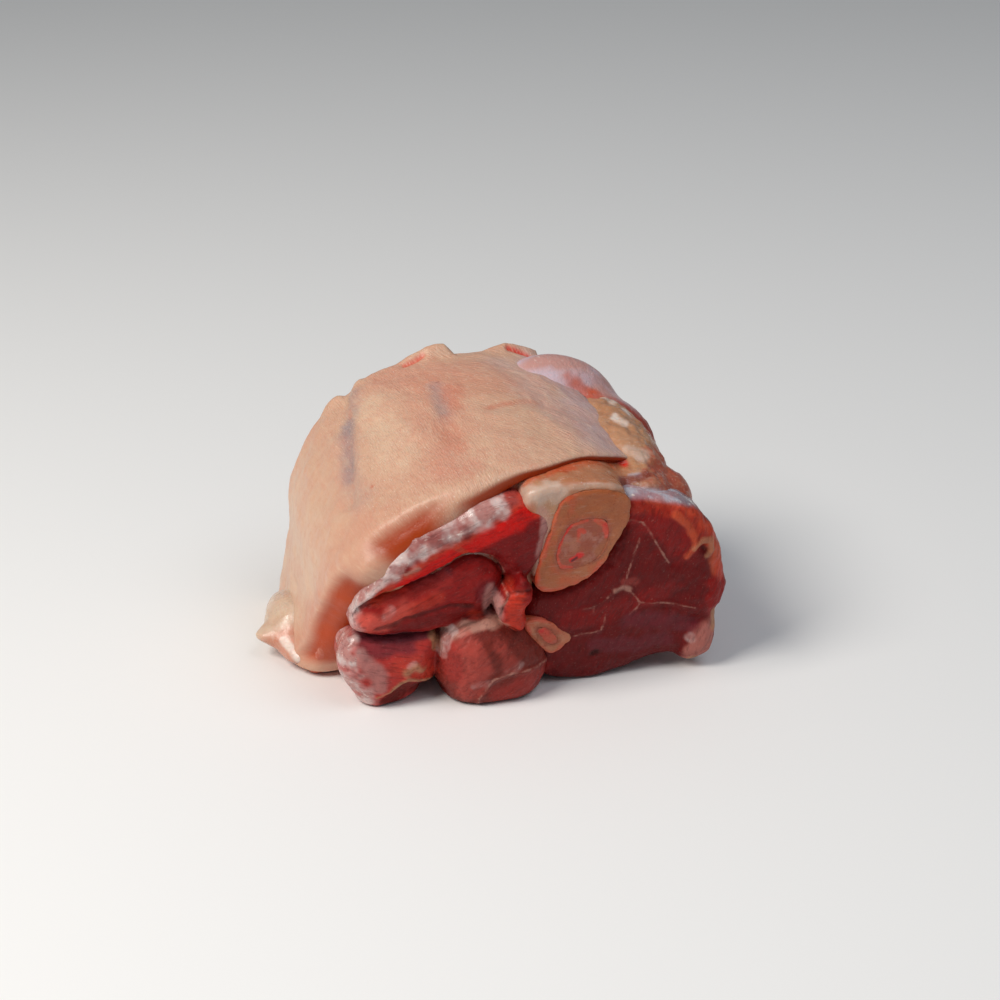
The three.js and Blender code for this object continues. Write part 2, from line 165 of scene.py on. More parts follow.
# Surface colours, as red, green and blue of 255.
COLOURS = {
    "round_painted_light": (184, 76, 66),
    "crease_shade_brown": (126, 50, 34),
    "painted_glint": (240, 222, 206),
    "slit_red": (206, 48, 24),
    "lip_orange_and_shade": (158, 54, 4),
    "lip_low_orange_and_shade": (180, 64, 5),
    "skin_lilac_and_sheen": (186, 160, 164),
    "tag_pink": (200, 124, 112),
    "bone_pale": (186, 114, 80),
    "foot_white": (208, 180, 156),
    "moist_lilac": (204, 182, 192),
    "moist_pink": (196, 148, 140),
    "flesh_pink": (170, 70, 62),
    "flesh_painted_light": (220, 92, 78),
    "maroon": (126, 15, 16),
    "brown_red": (146, 24, 22),
    "film_red": (184, 56, 50),
    "round_red": (120, 44, 36),
    "tongue": (166, 20, 13),
    "deep_red_and_shade": (106, 14, 14),
    "deep_left": (112, 13, 13),
    "rim_red": (204, 84, 52),
    "bright_red": (214, 18, 12),
    "orange_red": (208, 66, 44),
    # dark grain, and painted shade in creases, grooves, hollows and pits
    "dark_grain_and_crease_shade": (56, 14, 14),
    "under": (104, 24, 18),
    "membrane": (214, 192, 188),
    "pink_film": (186, 134, 128),
    "lilac": (190, 156, 160),
    "silver": (186, 186, 198),
    "white": (236, 222, 212),
    "fascia": (190, 138, 122),
    "fat": (184, 134, 100),
    "yellow_fat": (176, 124, 88),
    "white_fat": (198, 168, 150),
    "tan": (176, 112, 76),
    "orange_brown": (190, 76, 38),
    "brown_band": (164, 60, 38),
    "purple": (112, 46, 56),
    "skin": (206, 164, 138),
    "skin_pink": (202, 142, 120),
    "skin_red": (198, 122, 98),
    "skin_blue": (150, 132, 134),
    "skin_light": (220, 188, 160),
    "bone": (164, 86, 42),
    "bone_light": (174, 106, 64),
    "marrow": (156, 74, 50),
}


def linear(name):
    """A named colour as linear red, green and blue."""
    value = np.array(COLOURS[name]) / 255.0
    return np.where(value <= 0.04045, value / 12.92, ((value + 0.055) / 1.055) ** 2.4)


# ---------------------------------------------------------------- small tools


def lerp(a, b, t):
    return a + (b - a) * t


def smoothstep(low, high, value):
    t = np.clip((value - low) / (high - low), 0, 1)
    return t * t * (3 - 2 * t)


def along(values, t):
    """Value at t in 0..1 on a smooth curve through evenly spaced values."""
    values = np.asarray(values, float)
    place = np.clip(t, 0, 1) * (len(values) - 1)
    i = np.minimum(np.floor(place).astype(int), len(values) - 2)
    f = place - i
    ease = f * f * (3 - 2 * f)
    return lerp(values[i], values[i + 1], (f + ease) / 2)


def curve(knots, count, closed):
    """Evenly spaced points on a smooth curve through knots of any dimension."""
    knots = np.asarray(knots, float)
    n = len(knots)
    ring = knots[np.arange(-1, n + 2) % n] if closed else np.vstack(
        [2 * knots[0] - knots[1], knots, 2 * knots[-1] - knots[-2]])
    fine = []
    for i in range(n if closed else n - 1):
        a, b, c, d = ring[i:i + 4]
        t = np.linspace(0, 1, 24, endpoint=False)[:, None]
        fine.append(0.5 * (2 * b + (c - a) * t + (2 * a - 5 * b + 4 * c - d) * t ** 2
                           + (3 * b - a - 3 * c + d) * t ** 3))
    fine = np.vstack(fine + [knots[:1] if closed else knots[-1:]])
    length = np.concatenate([[0], np.cumsum(np.linalg.norm(np.diff(fine, axis=0), axis=1))])
    places = np.linspace(0, length[-1], count + 1)[:-1] if closed else np.linspace(
        0, length[-1], count)
    return np.stack([np.interp(places, length, column) for column in fine.T], axis=1)


def lattice(seed):
    """A repeating block of random values."""
    return np.random.default_rng(seed).uniform(-1, 1, (32, 32, 32)).astype(np.float32)


def noise(points, size, seed):
    """Smooth noise in -1..1 at points, with features of a size that may differ by axis."""
    cell = points / np.asarray(size, float) + 500.0
    low = np.floor(cell).astype(int)
    f = cell - low
    f = f * f * (3 - 2 * f)
    table = lattice(seed)
    total = np.zeros(len(points))
    for corner in itertools.product((0, 1), repeat=3):
        share = np.prod(np.where(corner, f, 1 - f), axis=1)
        i, j, k = ((low + corner) & 31).T
        total += share * table[i, j, k]
    return total


def layered(points, size, seed, layers=3):
    """Noise with finer and weaker layers on it."""
    size = np.asarray(size, float)
    return sum(noise(points, size / 2 ** k, seed + k) / 2 ** k for k in range(layers))


def path_distance(points, path):
    """Distance from points to a path of the same dimension."""
    path = np.asarray(path, float)
    if len(path) == 1:
        return np.linalg.norm(points - path[0], axis=1)
    best = np.full(len(points), np.inf)
    for a, b in zip(path[:-1], path[1:]):
        run = b - a
        t = np.clip((points - a) @ run / (run @ run), 0, 1)
        best = np.minimum(best, np.linalg.norm(points - a - t[:, None] * run, axis=1))
    return best


def rounded_and(a, b, radius):
    """Distance to what lies in both a and b, with the edge between them rounded."""
    u = np.maximum(a + radius, 0)
    v = np.maximum(b + radius, 0)
    return np.minimum(np.maximum(a, b), -radius) + np.hypot(u, v)


def blended_or(a, b, width):
    """Distance to what lies in a or b, with a fillet between them."""
    h = np.maximum(width - np.abs(a - b), 0) / width
    return np.minimum(a, b) - h * h * width / 4


# ---------------------------------------------------------------- the leg's outer form


def front_y(z):
    """The front sawn face at height z."""
    return FRONT_FOOT_Y - FRONT_LEAN * z


def station(values, y):
    """A size of the section at y, on a parabola through the three stations."""
    f = y / STATION_Y
    front, middle, back = values
    return front * f * (f - 1) / 2 + middle * (1 - f * f) + back * f * (f + 1) / 2


def arc_point(angle, y, inset):
    """Point on the upper arc: angle 0 is the right waist, 90 degrees the top."""
    cosine = np.cos(angle)
    on_left = cosine < 0
    width = np.where(on_left, station(BODY_LEFT, y), station(BODY_RIGHT, y)) - inset
    power = 2 / np.where(on_left, station(BODY_LEFT_POWER, y), RIGHT_POWER)
    rise = station(BODY_TOP, y) - BODY_WAIST_Z - inset
    x = BODY_CENTRE_X + width * np.sign(cosine) * np.abs(cosine) ** power
    return np.stack([x, y + 0 * x, BODY_WAIST_Z + rise * np.abs(np.sin(angle)) ** power], -1)


def rind_point(share, y, inset):
    """Point of the rind: share is 0 at its right edge and 1 where it meets the table."""
    edge = np.radians(along(RIND_RIGHT_EDGE, (y - FRONT_FOOT_Y) / (BACK_Y - FRONT_FOOT_Y)))
    over = arc_point(lerp(edge, math.pi, np.minimum(share / RIND_ARC_SHARE, 1)), y, inset)
    down = np.clip((share - RIND_ARC_SHARE) / (1 - RIND_ARC_SHARE), 0, 1)
    z = lerp(BODY_WAIST_Z, along(RIND_FOOT_Z, (y + 20) / 60), down)
    flare = LEFT_FLARE * (BODY_WAIST_Z - z) / (BODY_WAIST_Z - BODY_FOOT_Z)
    x = BODY_CENTRE_X - (station(BODY_LEFT, y) + flare - inset)
    flank = np.stack([x, y + 0 * x, z + 0 * x], -1)
    return np.where((share <= RIND_ARC_SHARE)[..., None], over, flank)


def core_distance(x, y, z, inset):
    """Rough distance to the leg's section, drawn in by inset."""
    dx = x - BODY_CENTRE_X
    on_left = dx < 0
    width = np.where(on_left, station(BODY_LEFT, y), station(BODY_RIGHT, y)) - inset
    power = np.where(on_left, station(BODY_LEFT_POWER, y), RIGHT_POWER)
    rise = station(BODY_TOP, y) - BODY_WAIST_Z - inset
    u = np.abs(dx) / width
    v = np.maximum(z - BODY_WAIST_Z, 0) / rise
    q = (u ** power + v ** power) ** (1 / power)
    slope = np.hypot((u / np.maximum(q, 1e-3)) ** (power - 1) / width,
                     (v / np.maximum(q, 1e-3)) ** (power - 1) / rise)
    above = (q - 1) / np.maximum(slope, 1 / 90)
    depth = np.clip((BODY_WAIST_Z - z) / (BODY_WAIST_Z - BODY_FOOT_Z), 0, 1.2)
    reach = width + np.where(on_left, LEFT_FLARE, -RIGHT_TUCK) * depth
    return np.where(z > BODY_WAIST_Z, above, np.abs(dx) - reach)


# ---------------------------------------------------------------- distance fields

RASTER_LOW = np.array([-80.0, -14.0])
RASTER_CELL = 0.5
RASTER_SHAPE = (310, 220)


class Outline:
    """Signed distance in the x-z plane to a smooth closed outline, negative inside."""

    def __init__(self, knots):
        self.points = curve(knots, 120, True)
        self.middle = self.points.mean(0)
        axes = [RASTER_LOW[k] + RASTER_CELL * np.arange(RASTER_SHAPE[k]) for k in (0, 1)]
        x, z = (a.ravel() for a in np.meshgrid(*axes, indexing="ij"))
        nearest = np.full(len(x), np.inf)
        inside = np.zeros(len(x), bool)
        for a, b in zip(self.points, np.roll(self.points, -1, axis=0)):
            run = b - a
            t = np.clip(((x - a[0]) * run[0] + (z - a[1]) * run[1]) / (run @ run), 0, 1)
            nearest = np.minimum(nearest, np.hypot(x - a[0] - t * run[0], z - a[1] - t * run[1]))
            if a[1] != b[1]:
                crosses = (a[1] > z) != (b[1] > z)
                inside ^= crosses & (x < a[0] + (z - a[1]) / run[1] * run[0])
        self.values = np.where(inside, -nearest, nearest).reshape(RASTER_SHAPE).astype(np.float32)

    def __call__(self, x, z):
        u = np.clip((x - RASTER_LOW[0]) / RASTER_CELL, 0, RASTER_SHAPE[0] - 1.001)
        v = np.clip((z - RASTER_LOW[1]) / RASTER_CELL, 0, RASTER_SHAPE[1] - 1.001)
        i = u.astype(np.int32)
        j = v.astype(np.int32)
        u = u - i
        v = v - j
        at = self.values
        return ((at[i, j] * (1 - u) + at[i + 1, j] * u) * (1 - v)
                + (at[i, j + 1] * (1 - u) + at[i + 1, j + 1] * u) * v)


def prism_outline(prism, outline, x, y, z):
    """Distance to a muscle's outline, carried back along the bones with its size and drift."""
    t = np.clip((y - FRONT_FOOT_Y) / (BACK_Y - FRONT_FOOT_Y), -0.2, 1)
    cx, cz = outline.middle
    px = cx + (x - cx - prism["drift"][0] * t) / lerp(1, prism["wide"], t)
    pz = cz + (z - cz - prism["drift"][1] * t) / lerp(1, prism["high"], t)
    return outline(px, pz)


def prism_distance(prism, outline, x, y, z):
    """Distance to a muscle that runs from the front face to the back one, both ends bulging."""
    side = prism_outline(prism, outline, x, y, z)
    crown = prism["crown"] * smoothstep(0, 12, -side)
    front = front_y(z) - prism["ahead"] - crown - y
    back = y - BACK_Y - BACK_BULGE
    return np.maximum(rounded_and(side, front, prism["rim"]), rounded_and(side, back, 4.0))


def lobe_distance(lobe, x, y, z):
    """Rough distance to an ellipsoid turned about Y."""
    at, half, turn = lobe
    angle = math.radians(turn)
    dx = x - at[0]
    dz = z - at[2]
    u = (dx * math.cos(angle) - dz * math.sin(angle)) / half[0]
    w = (dx * math.sin(angle) + dz * math.cos(angle)) / half[2]
    v = (y - at[1]) / half[1]
    q = np.sqrt(u * u + v * v + w * w)
    return (q - 1) * min(half)


OUTLINES = {name: Outline(muscle["outline"]) for name, muscle in MUSCLES.items()}
SHIN_OUTLINE = Outline(SHIN_FAT["outline"])
TIBIA_OUTLINE = Outline(TIBIA)
FIBULA_OUTLINE = Outline(FIBULA)
TABLE_ROUNDING = 2.0
SOCKET_DEPTH = 5.0
SOCKET_OVERLAP = 0.4  # how far the meat reaches into the bone's outline, so that no gap shows
MUSCLE_FILLET = 1.0
LEAN_LOBE_FILLET = 3.0
FAT_LOBE_FILLET = 2.5
FOOT_FILLET = 3.0
SHIN_FILLET = 3.0
CREST_X = -16.0
CREST_Y = 30.0
CREST_Z = 34.0


def bone_socket(x, y, z):
    """Distance to the shallow hollows in both faces in which the bones sit."""
    t = (y - FRONT_FOOT_Y) / (BACK_Y - FRONT_FOOT_Y)
    px = x - BONE_DRIFT_X * t
    pz = z - BONE_DRIFT_Z * t
    bones = np.minimum(TIBIA_OUTLINE(px, pz), FIBULA_OUTLINE(px, pz)) + SOCKET_OVERLAP
    ends = np.minimum(y - front_y(z) - SOCKET_DEPTH, BACK_Y - SOCKET_DEPTH - y)
    return np.maximum(bones, ends)


def lean_field(names, lobes, x, y, z):
    """Distance to some muscles and their lobes, hollowed for the bones and flat on the table."""
    value = None
    for name in names:
        one = prism_distance(MUSCLES[name], OUTLINES[name], x, y, z)
        value = one if value is None else blended_or(value, one, MUSCLE_FILLET)
    for lobe in lobes.values():
        value = blended_or(value, lobe_distance(lobe, x, y, z), LEAN_LOBE_FILLET)
    value = np.maximum(value, -bone_socket(x, y, z))
    return rounded_and(value, -z, TABLE_ROUNDING)


def in_crest(x, y, z):
    """Distance to the block that holds the fat round the top of the shin."""
    return np.maximum.reduce([CREST_X - x, y - CREST_Y, CREST_Z - z])


def fat_field(x, y, z):
    """Distance to all the fat under the rind, with the fat round the shin and the free lobes."""
    lip = along(RIND_FRONT_Y, share_under(x, z))
    recess = along(CORE_RECESS, z / BODY_TOP[0])
    start = np.where(x < 2, np.maximum(front_y(z) + recess, lip + 4), front_y(z) + recess + 6)
    core = rounded_and(core_distance(x, y, z, CORE_INSET), start - y, 3.0)
    core = rounded_and(core, y - BACK_Y, 2.0)
    value = blended_or(core, prism_distance(SHIN_FAT, SHIN_OUTLINE, x, y, z), SHIN_FILLET)
    for lobe in FAT_LOBES.values():
        value = blended_or(value, lobe_distance(lobe, x, y, z), FAT_LOBE_FILLET)
    value = np.maximum(value, -bone_socket(x, y, z))
    return rounded_and(value, -z, TABLE_ROUNDING)


def crest_field(x, y, z):
    return np.maximum(fat_field(x, y, z), in_crest(x, y, z))


def core_field(x, y, z):
    return np.maximum(fat_field(x, y, z), -in_crest(x, y, z) - 1.0)


def foot_field(x, y, z):
    """Distance to the small flap of fat at the foot of the left flank."""
    value = None
    for lobe in FOOT_LOBES.values():
        one = lobe_distance(lobe, x, y, z)
        value = one if value is None else blended_or(value, one, FOOT_FILLET)
    return rounded_and(value, -z, 1.0)


def share_under(x, z):
    """The share of the rind's width that lies over a point near the section."""
    angle = np.arctan2(np.maximum(z - BODY_WAIST_Z, 0), x - BODY_CENTRE_X)
    edge = math.radians(RIND_RIGHT_EDGE[0])
    over = RIND_ARC_SHARE * (angle - edge) / (math.pi - edge)
    down = (BODY_WAIST_Z - z) / BODY_WAIST_Z
    return np.where(z > BODY_WAIST_Z, over, lerp(RIND_ARC_SHARE, 1, np.clip(down, 0, 1)))


def surface_of(field, low, high, step, rows):
    """Vertices and four-sided faces of a field's zero surface, on a grid with chosen rows in y.
    A coarse pass finds where the surface runs, and only that is worked out in full."""
    coarse_every = 3
    reach = 6.0
    xs = np.arange(low[0], high[0], step)
    zs = np.arange(low[2], high[2], step)
    axes = [a[:len(a) // coarse_every * coarse_every] for a in (xs, rows, zs)]
    coarse = np.meshgrid(*(a[::coarse_every] for a in axes), indexing="ij")
    shape = coarse[0].shape
    values = field(*(c.ravel() for c in coarse)).reshape(shape)
    for axis in range(3):
        values = values.repeat(coarse_every, axis)
    near = np.nonzero(np.abs(values).ravel() < reach)[0]
    i, j, k = np.unravel_index(near, values.shape)
    flat = values.ravel().astype(np.float32)
    flat[near] = field(axes[0][i], axes[1][j], axes[2][k])
    grid = openvdb.FloatGrid(1.0)
    grid.copyFromArray(flat.reshape(values.shape), tolerance=0.0)
    found, faces = grid.convertToQuads(isovalue=0.0)
    points = np.stack(
        [np.interp(found[:, n], np.arange(len(axes[n])), axes[n]) for n in range(3)], axis=1)
    faces = faces.astype(int)
    return points, faces if signed_volume(points, faces) > 0 else faces[:, ::-1]


def signed_volume(points, faces):
    """Six times the volume inside four-sided faces, negative if they face inwards."""
    a, b, c, d = (points[faces[:, n]] for n in range(4))
    return (np.einsum("ij,ij->i", a, np.cross(b, c)) + np.einsum("ij,ij->i", a, np.cross(c, d))).sum()


def vertex_normals(points, faces):
    a, b, c, d = (points[faces[:, n]] for n in range(4))
    across = np.cross(c - a, d - b)
    total = np.zeros_like(points)
    for axis in range(3):
        for n in range(4):
            total[:, axis] += np.bincount(faces[:, n], across[:, axis], len(points))
    return total / np.maximum(np.linalg.norm(total, axis=1, keepdims=True), 1e-9)


def graded_rows(low, high, widest):
    """Rows in y: close together at both faces, wider between them."""
    rows = [low]
    while rows[-1] < high:
        y = rows[-1]
        rows.append(y + lerp(0.5, widest, smoothstep(-36, -18, y) * (1 - smoothstep(26, 36, y))))
    return np.array(rows)


# ---------------------------------------------------------------- meshes


def make_piece(name, points, faces, nodes, material, attributes):
    """A smooth mesh in the part's frame, with its attributes, riding on the body."""
    mesh = bpy.data.meshes.new(name)
    places = (points + FOOTPRINT_SHIFT) * MM
    mesh.from_pydata(places.tolist(), [], faces if isinstance(faces, list) else faces.tolist())
    mesh.shade_smooth()
    for key, values in attributes.items():
        values = np.asarray(values, np.float32)
        if values.ndim == 1:
            mesh.attributes.new(key, "FLOAT", "POINT").data.foreach_set("value", values)
        elif key == "paint":
            full = np.concatenate([values, np.ones((len(values), 1), np.float32)], axis=1)
            mesh.attributes.new(key, "FLOAT_COLOR", "POINT").data.foreach_set("color", full.ravel())
        else:
            data = mesh.attributes.new(key, "FLOAT_VECTOR", "POINT").data
            data.foreach_set("vector", values.ravel())
    mesh.materials.append(material)
    piece = bpy.data.objects.new(name, mesh)
    bpy.context.scene.collection.objects.link(piece)
    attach(piece, "root")
    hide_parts(*nodes)
    return piece


# ---------------------------------------------------------------- materials


class Nodes:
    """Short names for the shader nodes that the materials use."""

    def __init__(self, name):
        self.material = bpy.data.materials.new(name)
        self.material.use_nodes = True
        self.tree = self.material.node_tree
        self.shader = self.tree.nodes["Principled BSDF"]

    def put(self, socket, value):
        if isinstance(value, bpy.types.NodeSocket):
            self.tree.links.new(value, socket)
        else:
            socket.default_value = value

    def attribute(self, name, output="Fac"):
        node = self.tree.nodes.new("ShaderNodeAttribute")
        node.attribute_name = name
        return node.outputs[output]

    def noise(self, vector, scale, detail=3.0, roughness=0.55, distortion=0.0):
        node = self.tree.nodes.new("ShaderNodeTexNoise")
        self.put(node.inputs["Vector"], vector)
        node.inputs["Scale"].default_value = scale
        node.inputs["Detail"].default_value = detail
        node.inputs["Roughness"].default_value = roughness
        node.inputs["Distortion"].default_value = distortion
        return node.outputs["Fac"]

    def cells(self, vector, scale, feature="F1"):
        node = self.tree.nodes.new("ShaderNodeTexVoronoi")
        node.feature = feature
        self.put(node.inputs["Vector"], vector)
        node.inputs["Scale"].default_value = scale
        return node.outputs["Distance"]

    def stretch(self, vector, scale, turn=0.0):
        node = self.tree.nodes.new("ShaderNodeMapping")
        self.put(node.inputs["Vector"], vector)
        node.inputs["Scale"].default_value = scale
        node.inputs["Rotation"].default_value = (0, 0, math.radians(turn))
        return node.outputs["Vector"]

    def math(self, operation, a, b=0.0):
        node = self.tree.nodes.new("ShaderNodeMath")
        node.operation = operation
        self.put(node.inputs[0], a)
        self.put(node.inputs[1], b)
        return node.outputs[0]

    def ramp(self, value, low, high, to_low=0.0, to_high=1.0):
        node = self.tree.nodes.new("ShaderNodeMapRange")
        node.interpolation_type = "SMOOTHSTEP"
        self.put(node.inputs["Value"], value)
        node.inputs["From Min"].default_value = low
        node.inputs["From Max"].default_value = high
        node.inputs["To Min"].default_value = to_low
        node.inputs["To Max"].default_value = to_high
        return node.outputs["Result"]

    def mix(self, factor, a, b, blend="MIX"):
        node = self.tree.nodes.new("ShaderNodeMix")
        node.data_type = "RGBA"
        node.blend_type = blend
        self.put(node.inputs["Factor"], factor)
        self.put(node.inputs[6], a)
        self.put(node.inputs[7], b)
        return node.outputs[2]

    def bump(self, height, distance, strength=1.0, below=None):
        node = self.tree.nodes.new("ShaderNodeBump")
        self.put(node.inputs["Height"], height)
        node.inputs["Distance"].default_value = distance
        node.inputs["Strength"].default_value = strength
        if below is not None:
            self.put(node.inputs["Normal"], below)
        return node.outputs["Normal"]

    def set(self, **values):
        for key, value in values.items():
            self.put(self.shader.inputs[key.replace("_", " ")], value)


def rgba(name):
    return (*linear(name), 1.0)


def lean_material():
    n = Nodes("lean")
    grain = n.attribute("grain", "Vector")
    gloss = n.attribute("gloss")
    mottle = n.noise(grain, 0.16, 4.0)
    speck = n.noise(grain, 1.5, 3.0)
    fibre = n.noise(n.stretch(grain, (0.2, 1.0, 1.0)), 1.0, 4.0, 0.6)
    colour = n.attribute("paint", "Color")
    bare = n.math("SUBTRACT", 1.0, n.attribute("calm"))
    covers = [(mottle, 0.35, 0.65, 0.0, 0.12, "dark_grain_and_crease_shade"),
              (fibre, 0.36, 0.5, 0.3, 0.0, "dark_grain_and_crease_shade"),
              (fibre, 0.58, 0.76, 0.0, 0.16, "flesh_pink"),
              (speck, 0.7, 0.8, 0.0, 0.25, "fascia")]
    for value, low, high, at_low, at_high, tint in covers:
        cover = n.math("MULTIPLY", n.ramp(value, low, high, at_low, at_high), bare)
        colour = n.mix(cover, colour, rgba(tint))
    # Painted highlight: fine pale glints laid into the bare flesh's colour.
    painted_flecks = n.ramp(n.noise(n.stretch(grain, (0.5, 1.0, 1.0)), 2.4, 2.0), 0.62, 0.76, 0.0, 0.22)
    colour = n.mix(n.math("MULTIPLY", painted_flecks, bare), colour, rgba("fascia"))
    wobble = n.math("MULTIPLY", n.math("SUBTRACT", n.noise(grain, 0.55, 3.0), 0.5), 1.0)
    seam = n.math("ADD", n.attribute("seam"), wobble)
    strength = n.ramp(n.noise(grain, 0.4, 3.0), 0.36, 0.62, 0.08, 0.6)
    colour = n.mix(n.math("MULTIPLY", n.ramp(seam, 0.0, 0.5, 1.0, 0.0), strength),
                   colour, rgba("fascia"))
    # Painted highlight: white sparkles laid into the colour where the surface is glossy.
    painted_sparkle = n.noise(n.stretch(grain, (0.4, 1.0, 1.0)), 0.8, 3.0, 0.6)
    painted_sparkle = n.math("MULTIPLY", n.ramp(painted_sparkle, 0.6, 0.74), gloss)
    colour = n.mix(n.math("MULTIPLY", painted_sparkle, 0.8), colour, rgba("white"))
    normal = n.bump(n.noise(grain, 0.4, 3.0), 0.7 * MM, 0.5)
    normal = n.bump(fibre, 0.35 * MM, 0.6, normal)
    normal = n.bump(speck, 0.2 * MM, 0.5, normal)
    rough = n.math("SUBTRACT", n.ramp(n.noise(grain, 0.5, 2.0), 0.3, 0.7, 0.36, 0.54),
                   n.math("MULTIPLY", gloss, 0.22))
    n.set(Base_Color=colour, Roughness=rough, Normal=normal)
    n.set(Subsurface_Weight=0.1, Subsurface_Scale=1.0 * MM, Specular_IOR_Level=0.14,
          Coat_Weight=n.ramp(gloss, 0.0, 1.0, 0.03, 0.45), Coat_Roughness=0.12)
    n.shader.inputs["Subsurface Radius"].default_value = (1.6, 0.5, 0.4)
    return n.material


def fat_material():
    n = Nodes("fat")
    grain = n.attribute("grain", "Vector")
    lumps = n.noise(grain, 0.22, 4.0)
    fine = n.noise(grain, 1.1, 3.0)
    streaks = n.noise(n.stretch(grain, (0.25, 1.0, 1.0)), 0.9, 3.0)
    colour = n.attribute("paint", "Color")
    colour = n.mix(n.ramp(lumps, 0.4, 0.7, 0.0, 0.25), colour, rgba("tan"))
    colour = n.mix(n.ramp(streaks, 0.52, 0.7, 0.0, 0.3), colour, rgba("white_fat"))
    colour = n.mix(n.ramp(fine, 0.62, 0.76, 0.0, 0.3), colour, rgba("white"))
    normal = n.bump(n.noise(grain, 0.4, 3.0), 0.6 * MM, 0.5)
    normal = n.bump(fine, 0.25 * MM, 0.5, normal)
    rough = n.math("SUBTRACT", n.ramp(fine, 0.3, 0.7, 0.36, 0.5),
                   n.math("MULTIPLY", n.attribute("gloss"), 0.2))
    n.set(Base_Color=colour, Roughness=rough, Normal=normal)
    n.set(Subsurface_Weight=0.2, Subsurface_Scale=1.5 * MM, Specular_IOR_Level=0.45,
          Coat_Weight=0.25, Coat_Roughness=0.15)
    n.shader.inputs["Subsurface Radius"].default_value = (1.8, 0.8, 0.5)
    return n.material


def rind_material():
    n = Nodes("rind")
    sheet = n.attribute("grain", "Vector")
    plain = n.math("SUBTRACT", 1.0, n.attribute("rolled"))
    patches = n.noise(sheet, 0.06, 3.0)
    mottle = n.noise(sheet, 0.3, 4.0)
    fine = n.noise(sheet, 1.6, 3.0)
    streaks = n.noise(n.stretch(sheet, (1.0, 0.2, 1.0)), 0.4, 3.0)
    wrinkles = n.noise(n.stretch(sheet, (1.0, 0.2, 1.0)), 2.0, 2.0, 0.5)
    slanted = n.noise(n.stretch(n.stretch(sheet, (1, 1, 1), 39), (1.0, 0.2, 1.0)), 1.7, 2.0, 0.5)
    slant = n.attribute("slant")
    lines = n.math("ADD", n.math("MULTIPLY", wrinkles, n.math("SUBTRACT", 1.0, slant)),
                   n.math("MULTIPLY", slanted, slant))
    pores = n.cells(sheet, 1.3)
    colour = n.attribute("paint", "Color")
    covers = [(patches, 0.42, 0.62, 0.28, "skin_pink"), (mottle, 0.46, 0.7, 0.18, "skin_red"),
              (streaks, 0.5, 0.68, 0.22, "skin_light"), (fine, 0.55, 0.8, 0.12, "skin_light")]
    for value, low, high, most, tint in covers:
        cover = n.math("MULTIPLY", n.ramp(value, low, high, 0.0, most), plain)
        colour = n.mix(cover, colour, rgba(tint))
    wrinkled = n.attribute("wrinkled")
    # Painted shade and highlight along the wrinkles: darker in their valleys and lighter on their
    # ridges, following the bump.
    colour = n.mix(n.math("MULTIPLY", n.ramp(lines, 0.36, 0.5, 0.1, 0.0), wrinkled),
                   colour, rgba("skin_red"), "MULTIPLY")
    colour = n.mix(n.math("MULTIPLY", n.ramp(lines, 0.5, 0.64, 0.0, 0.16), wrinkled),
                   colour, rgba("skin_light"))
    # Painted highlight: small bright glints laid into the skin's colour where it is wrinkled.
    painted_glint_mask = n.ramp(n.noise(n.stretch(sheet, (1.0, 0.45, 1.0)), 2.4, 2.0), 0.6, 0.72, 0.0, 0.5)
    colour = n.mix(n.math("MULTIPLY", painted_glint_mask, wrinkled), colour, rgba("painted_glint"))
    normal = n.bump(mottle, 0.35 * MM, 0.5)
    normal = n.bump(n.math("MULTIPLY", lines, wrinkled), 0.45 * MM, 0.85, normal)
    normal = n.bump(n.ramp(pores, 0.0, 0.35), 0.08 * MM, 0.5, normal)
    normal = n.bump(fine, 0.12 * MM, 0.6, normal)
    rough = n.math("SUBTRACT", n.ramp(mottle, 0.3, 0.7, 0.4, 0.52),
                   n.math("MULTIPLY", n.attribute("gloss"), 0.2))
    n.set(Base_Color=colour, Roughness=rough, Normal=normal)
    n.set(Subsurface_Weight=0.18, Subsurface_Scale=1.5 * MM, Specular_IOR_Level=0.35,
          Coat_Weight=n.math("MULTIPLY", plain, 0.16), Coat_Roughness=0.22)
    n.shader.inputs["Subsurface Radius"].default_value = (2.0, 0.9, 0.6)
    return n.material


def bone_material(name):
    n = Nodes(name)
    grain = n.attribute("grain", "Vector")
    cloud = n.noise(grain, 0.18, 4.0)
    pores = n.noise(grain, 1.8, 3.0)
    saw = n.noise(n.stretch(grain, (0.12, 1.0, 1.0), 12), 1.6, 3.0)
    colour = n.attribute("paint", "Color")
    colour = n.mix(n.ramp(cloud, 0.42, 0.68, 0.0, 0.4), colour, rgba("bone_light"))
    colour = n.mix(n.ramp(pores, 0.56, 0.74, 0.0, 0.45), colour, rgba("orange_brown"), "MULTIPLY")
    colour = n.mix(n.ramp(saw, 0.55, 0.7, 0.0, 0.15), colour, rgba("white_fat"))
    normal = n.bump(pores, 0.2 * MM, 0.6)
    normal = n.bump(saw, 0.2 * MM, 0.5, normal)
    n.set(Base_Color=colour, Normal=normal, Roughness=n.ramp(pores, 0.3, 0.7, 0.42, 0.6))
    n.set(Subsurface_Weight=0.1, Subsurface_Scale=1.0 * MM, Specular_IOR_Level=0.4,
          Coat_Weight=0.1, Coat_Roughness=0.2)
    n.shader.inputs["Subsurface Radius"].default_value = (1.5, 0.8, 0.5)
    return n.material


# ---------------------------------------------------------------- painting

# Paths on the front face that are both coloured and raised or sunk, in x and z.
MIDDLE_GROOVE = [(-50, 28.5), (-45, 29.7), (-41.5, 31.3), (-35.2, 32.6), (-28, 34), (-22, 33)]
RIM_LINE = [(39.4, 56.9), (43.4, 52.8), (46.0, 48.6), (46.5, 45), (44.4, 41.8)]
FAT_LOOP = [(46.3, 44.6), (48.7, 46.8), (51.9, 46.0), (52.4, 42.8), (50.6, 41.2)]
LOOP_HOLLOW = [(49.3, 44), (50.4, 43.2)]
SMALL_PIT = [(17.0, 10.0), (18, 10.3)]

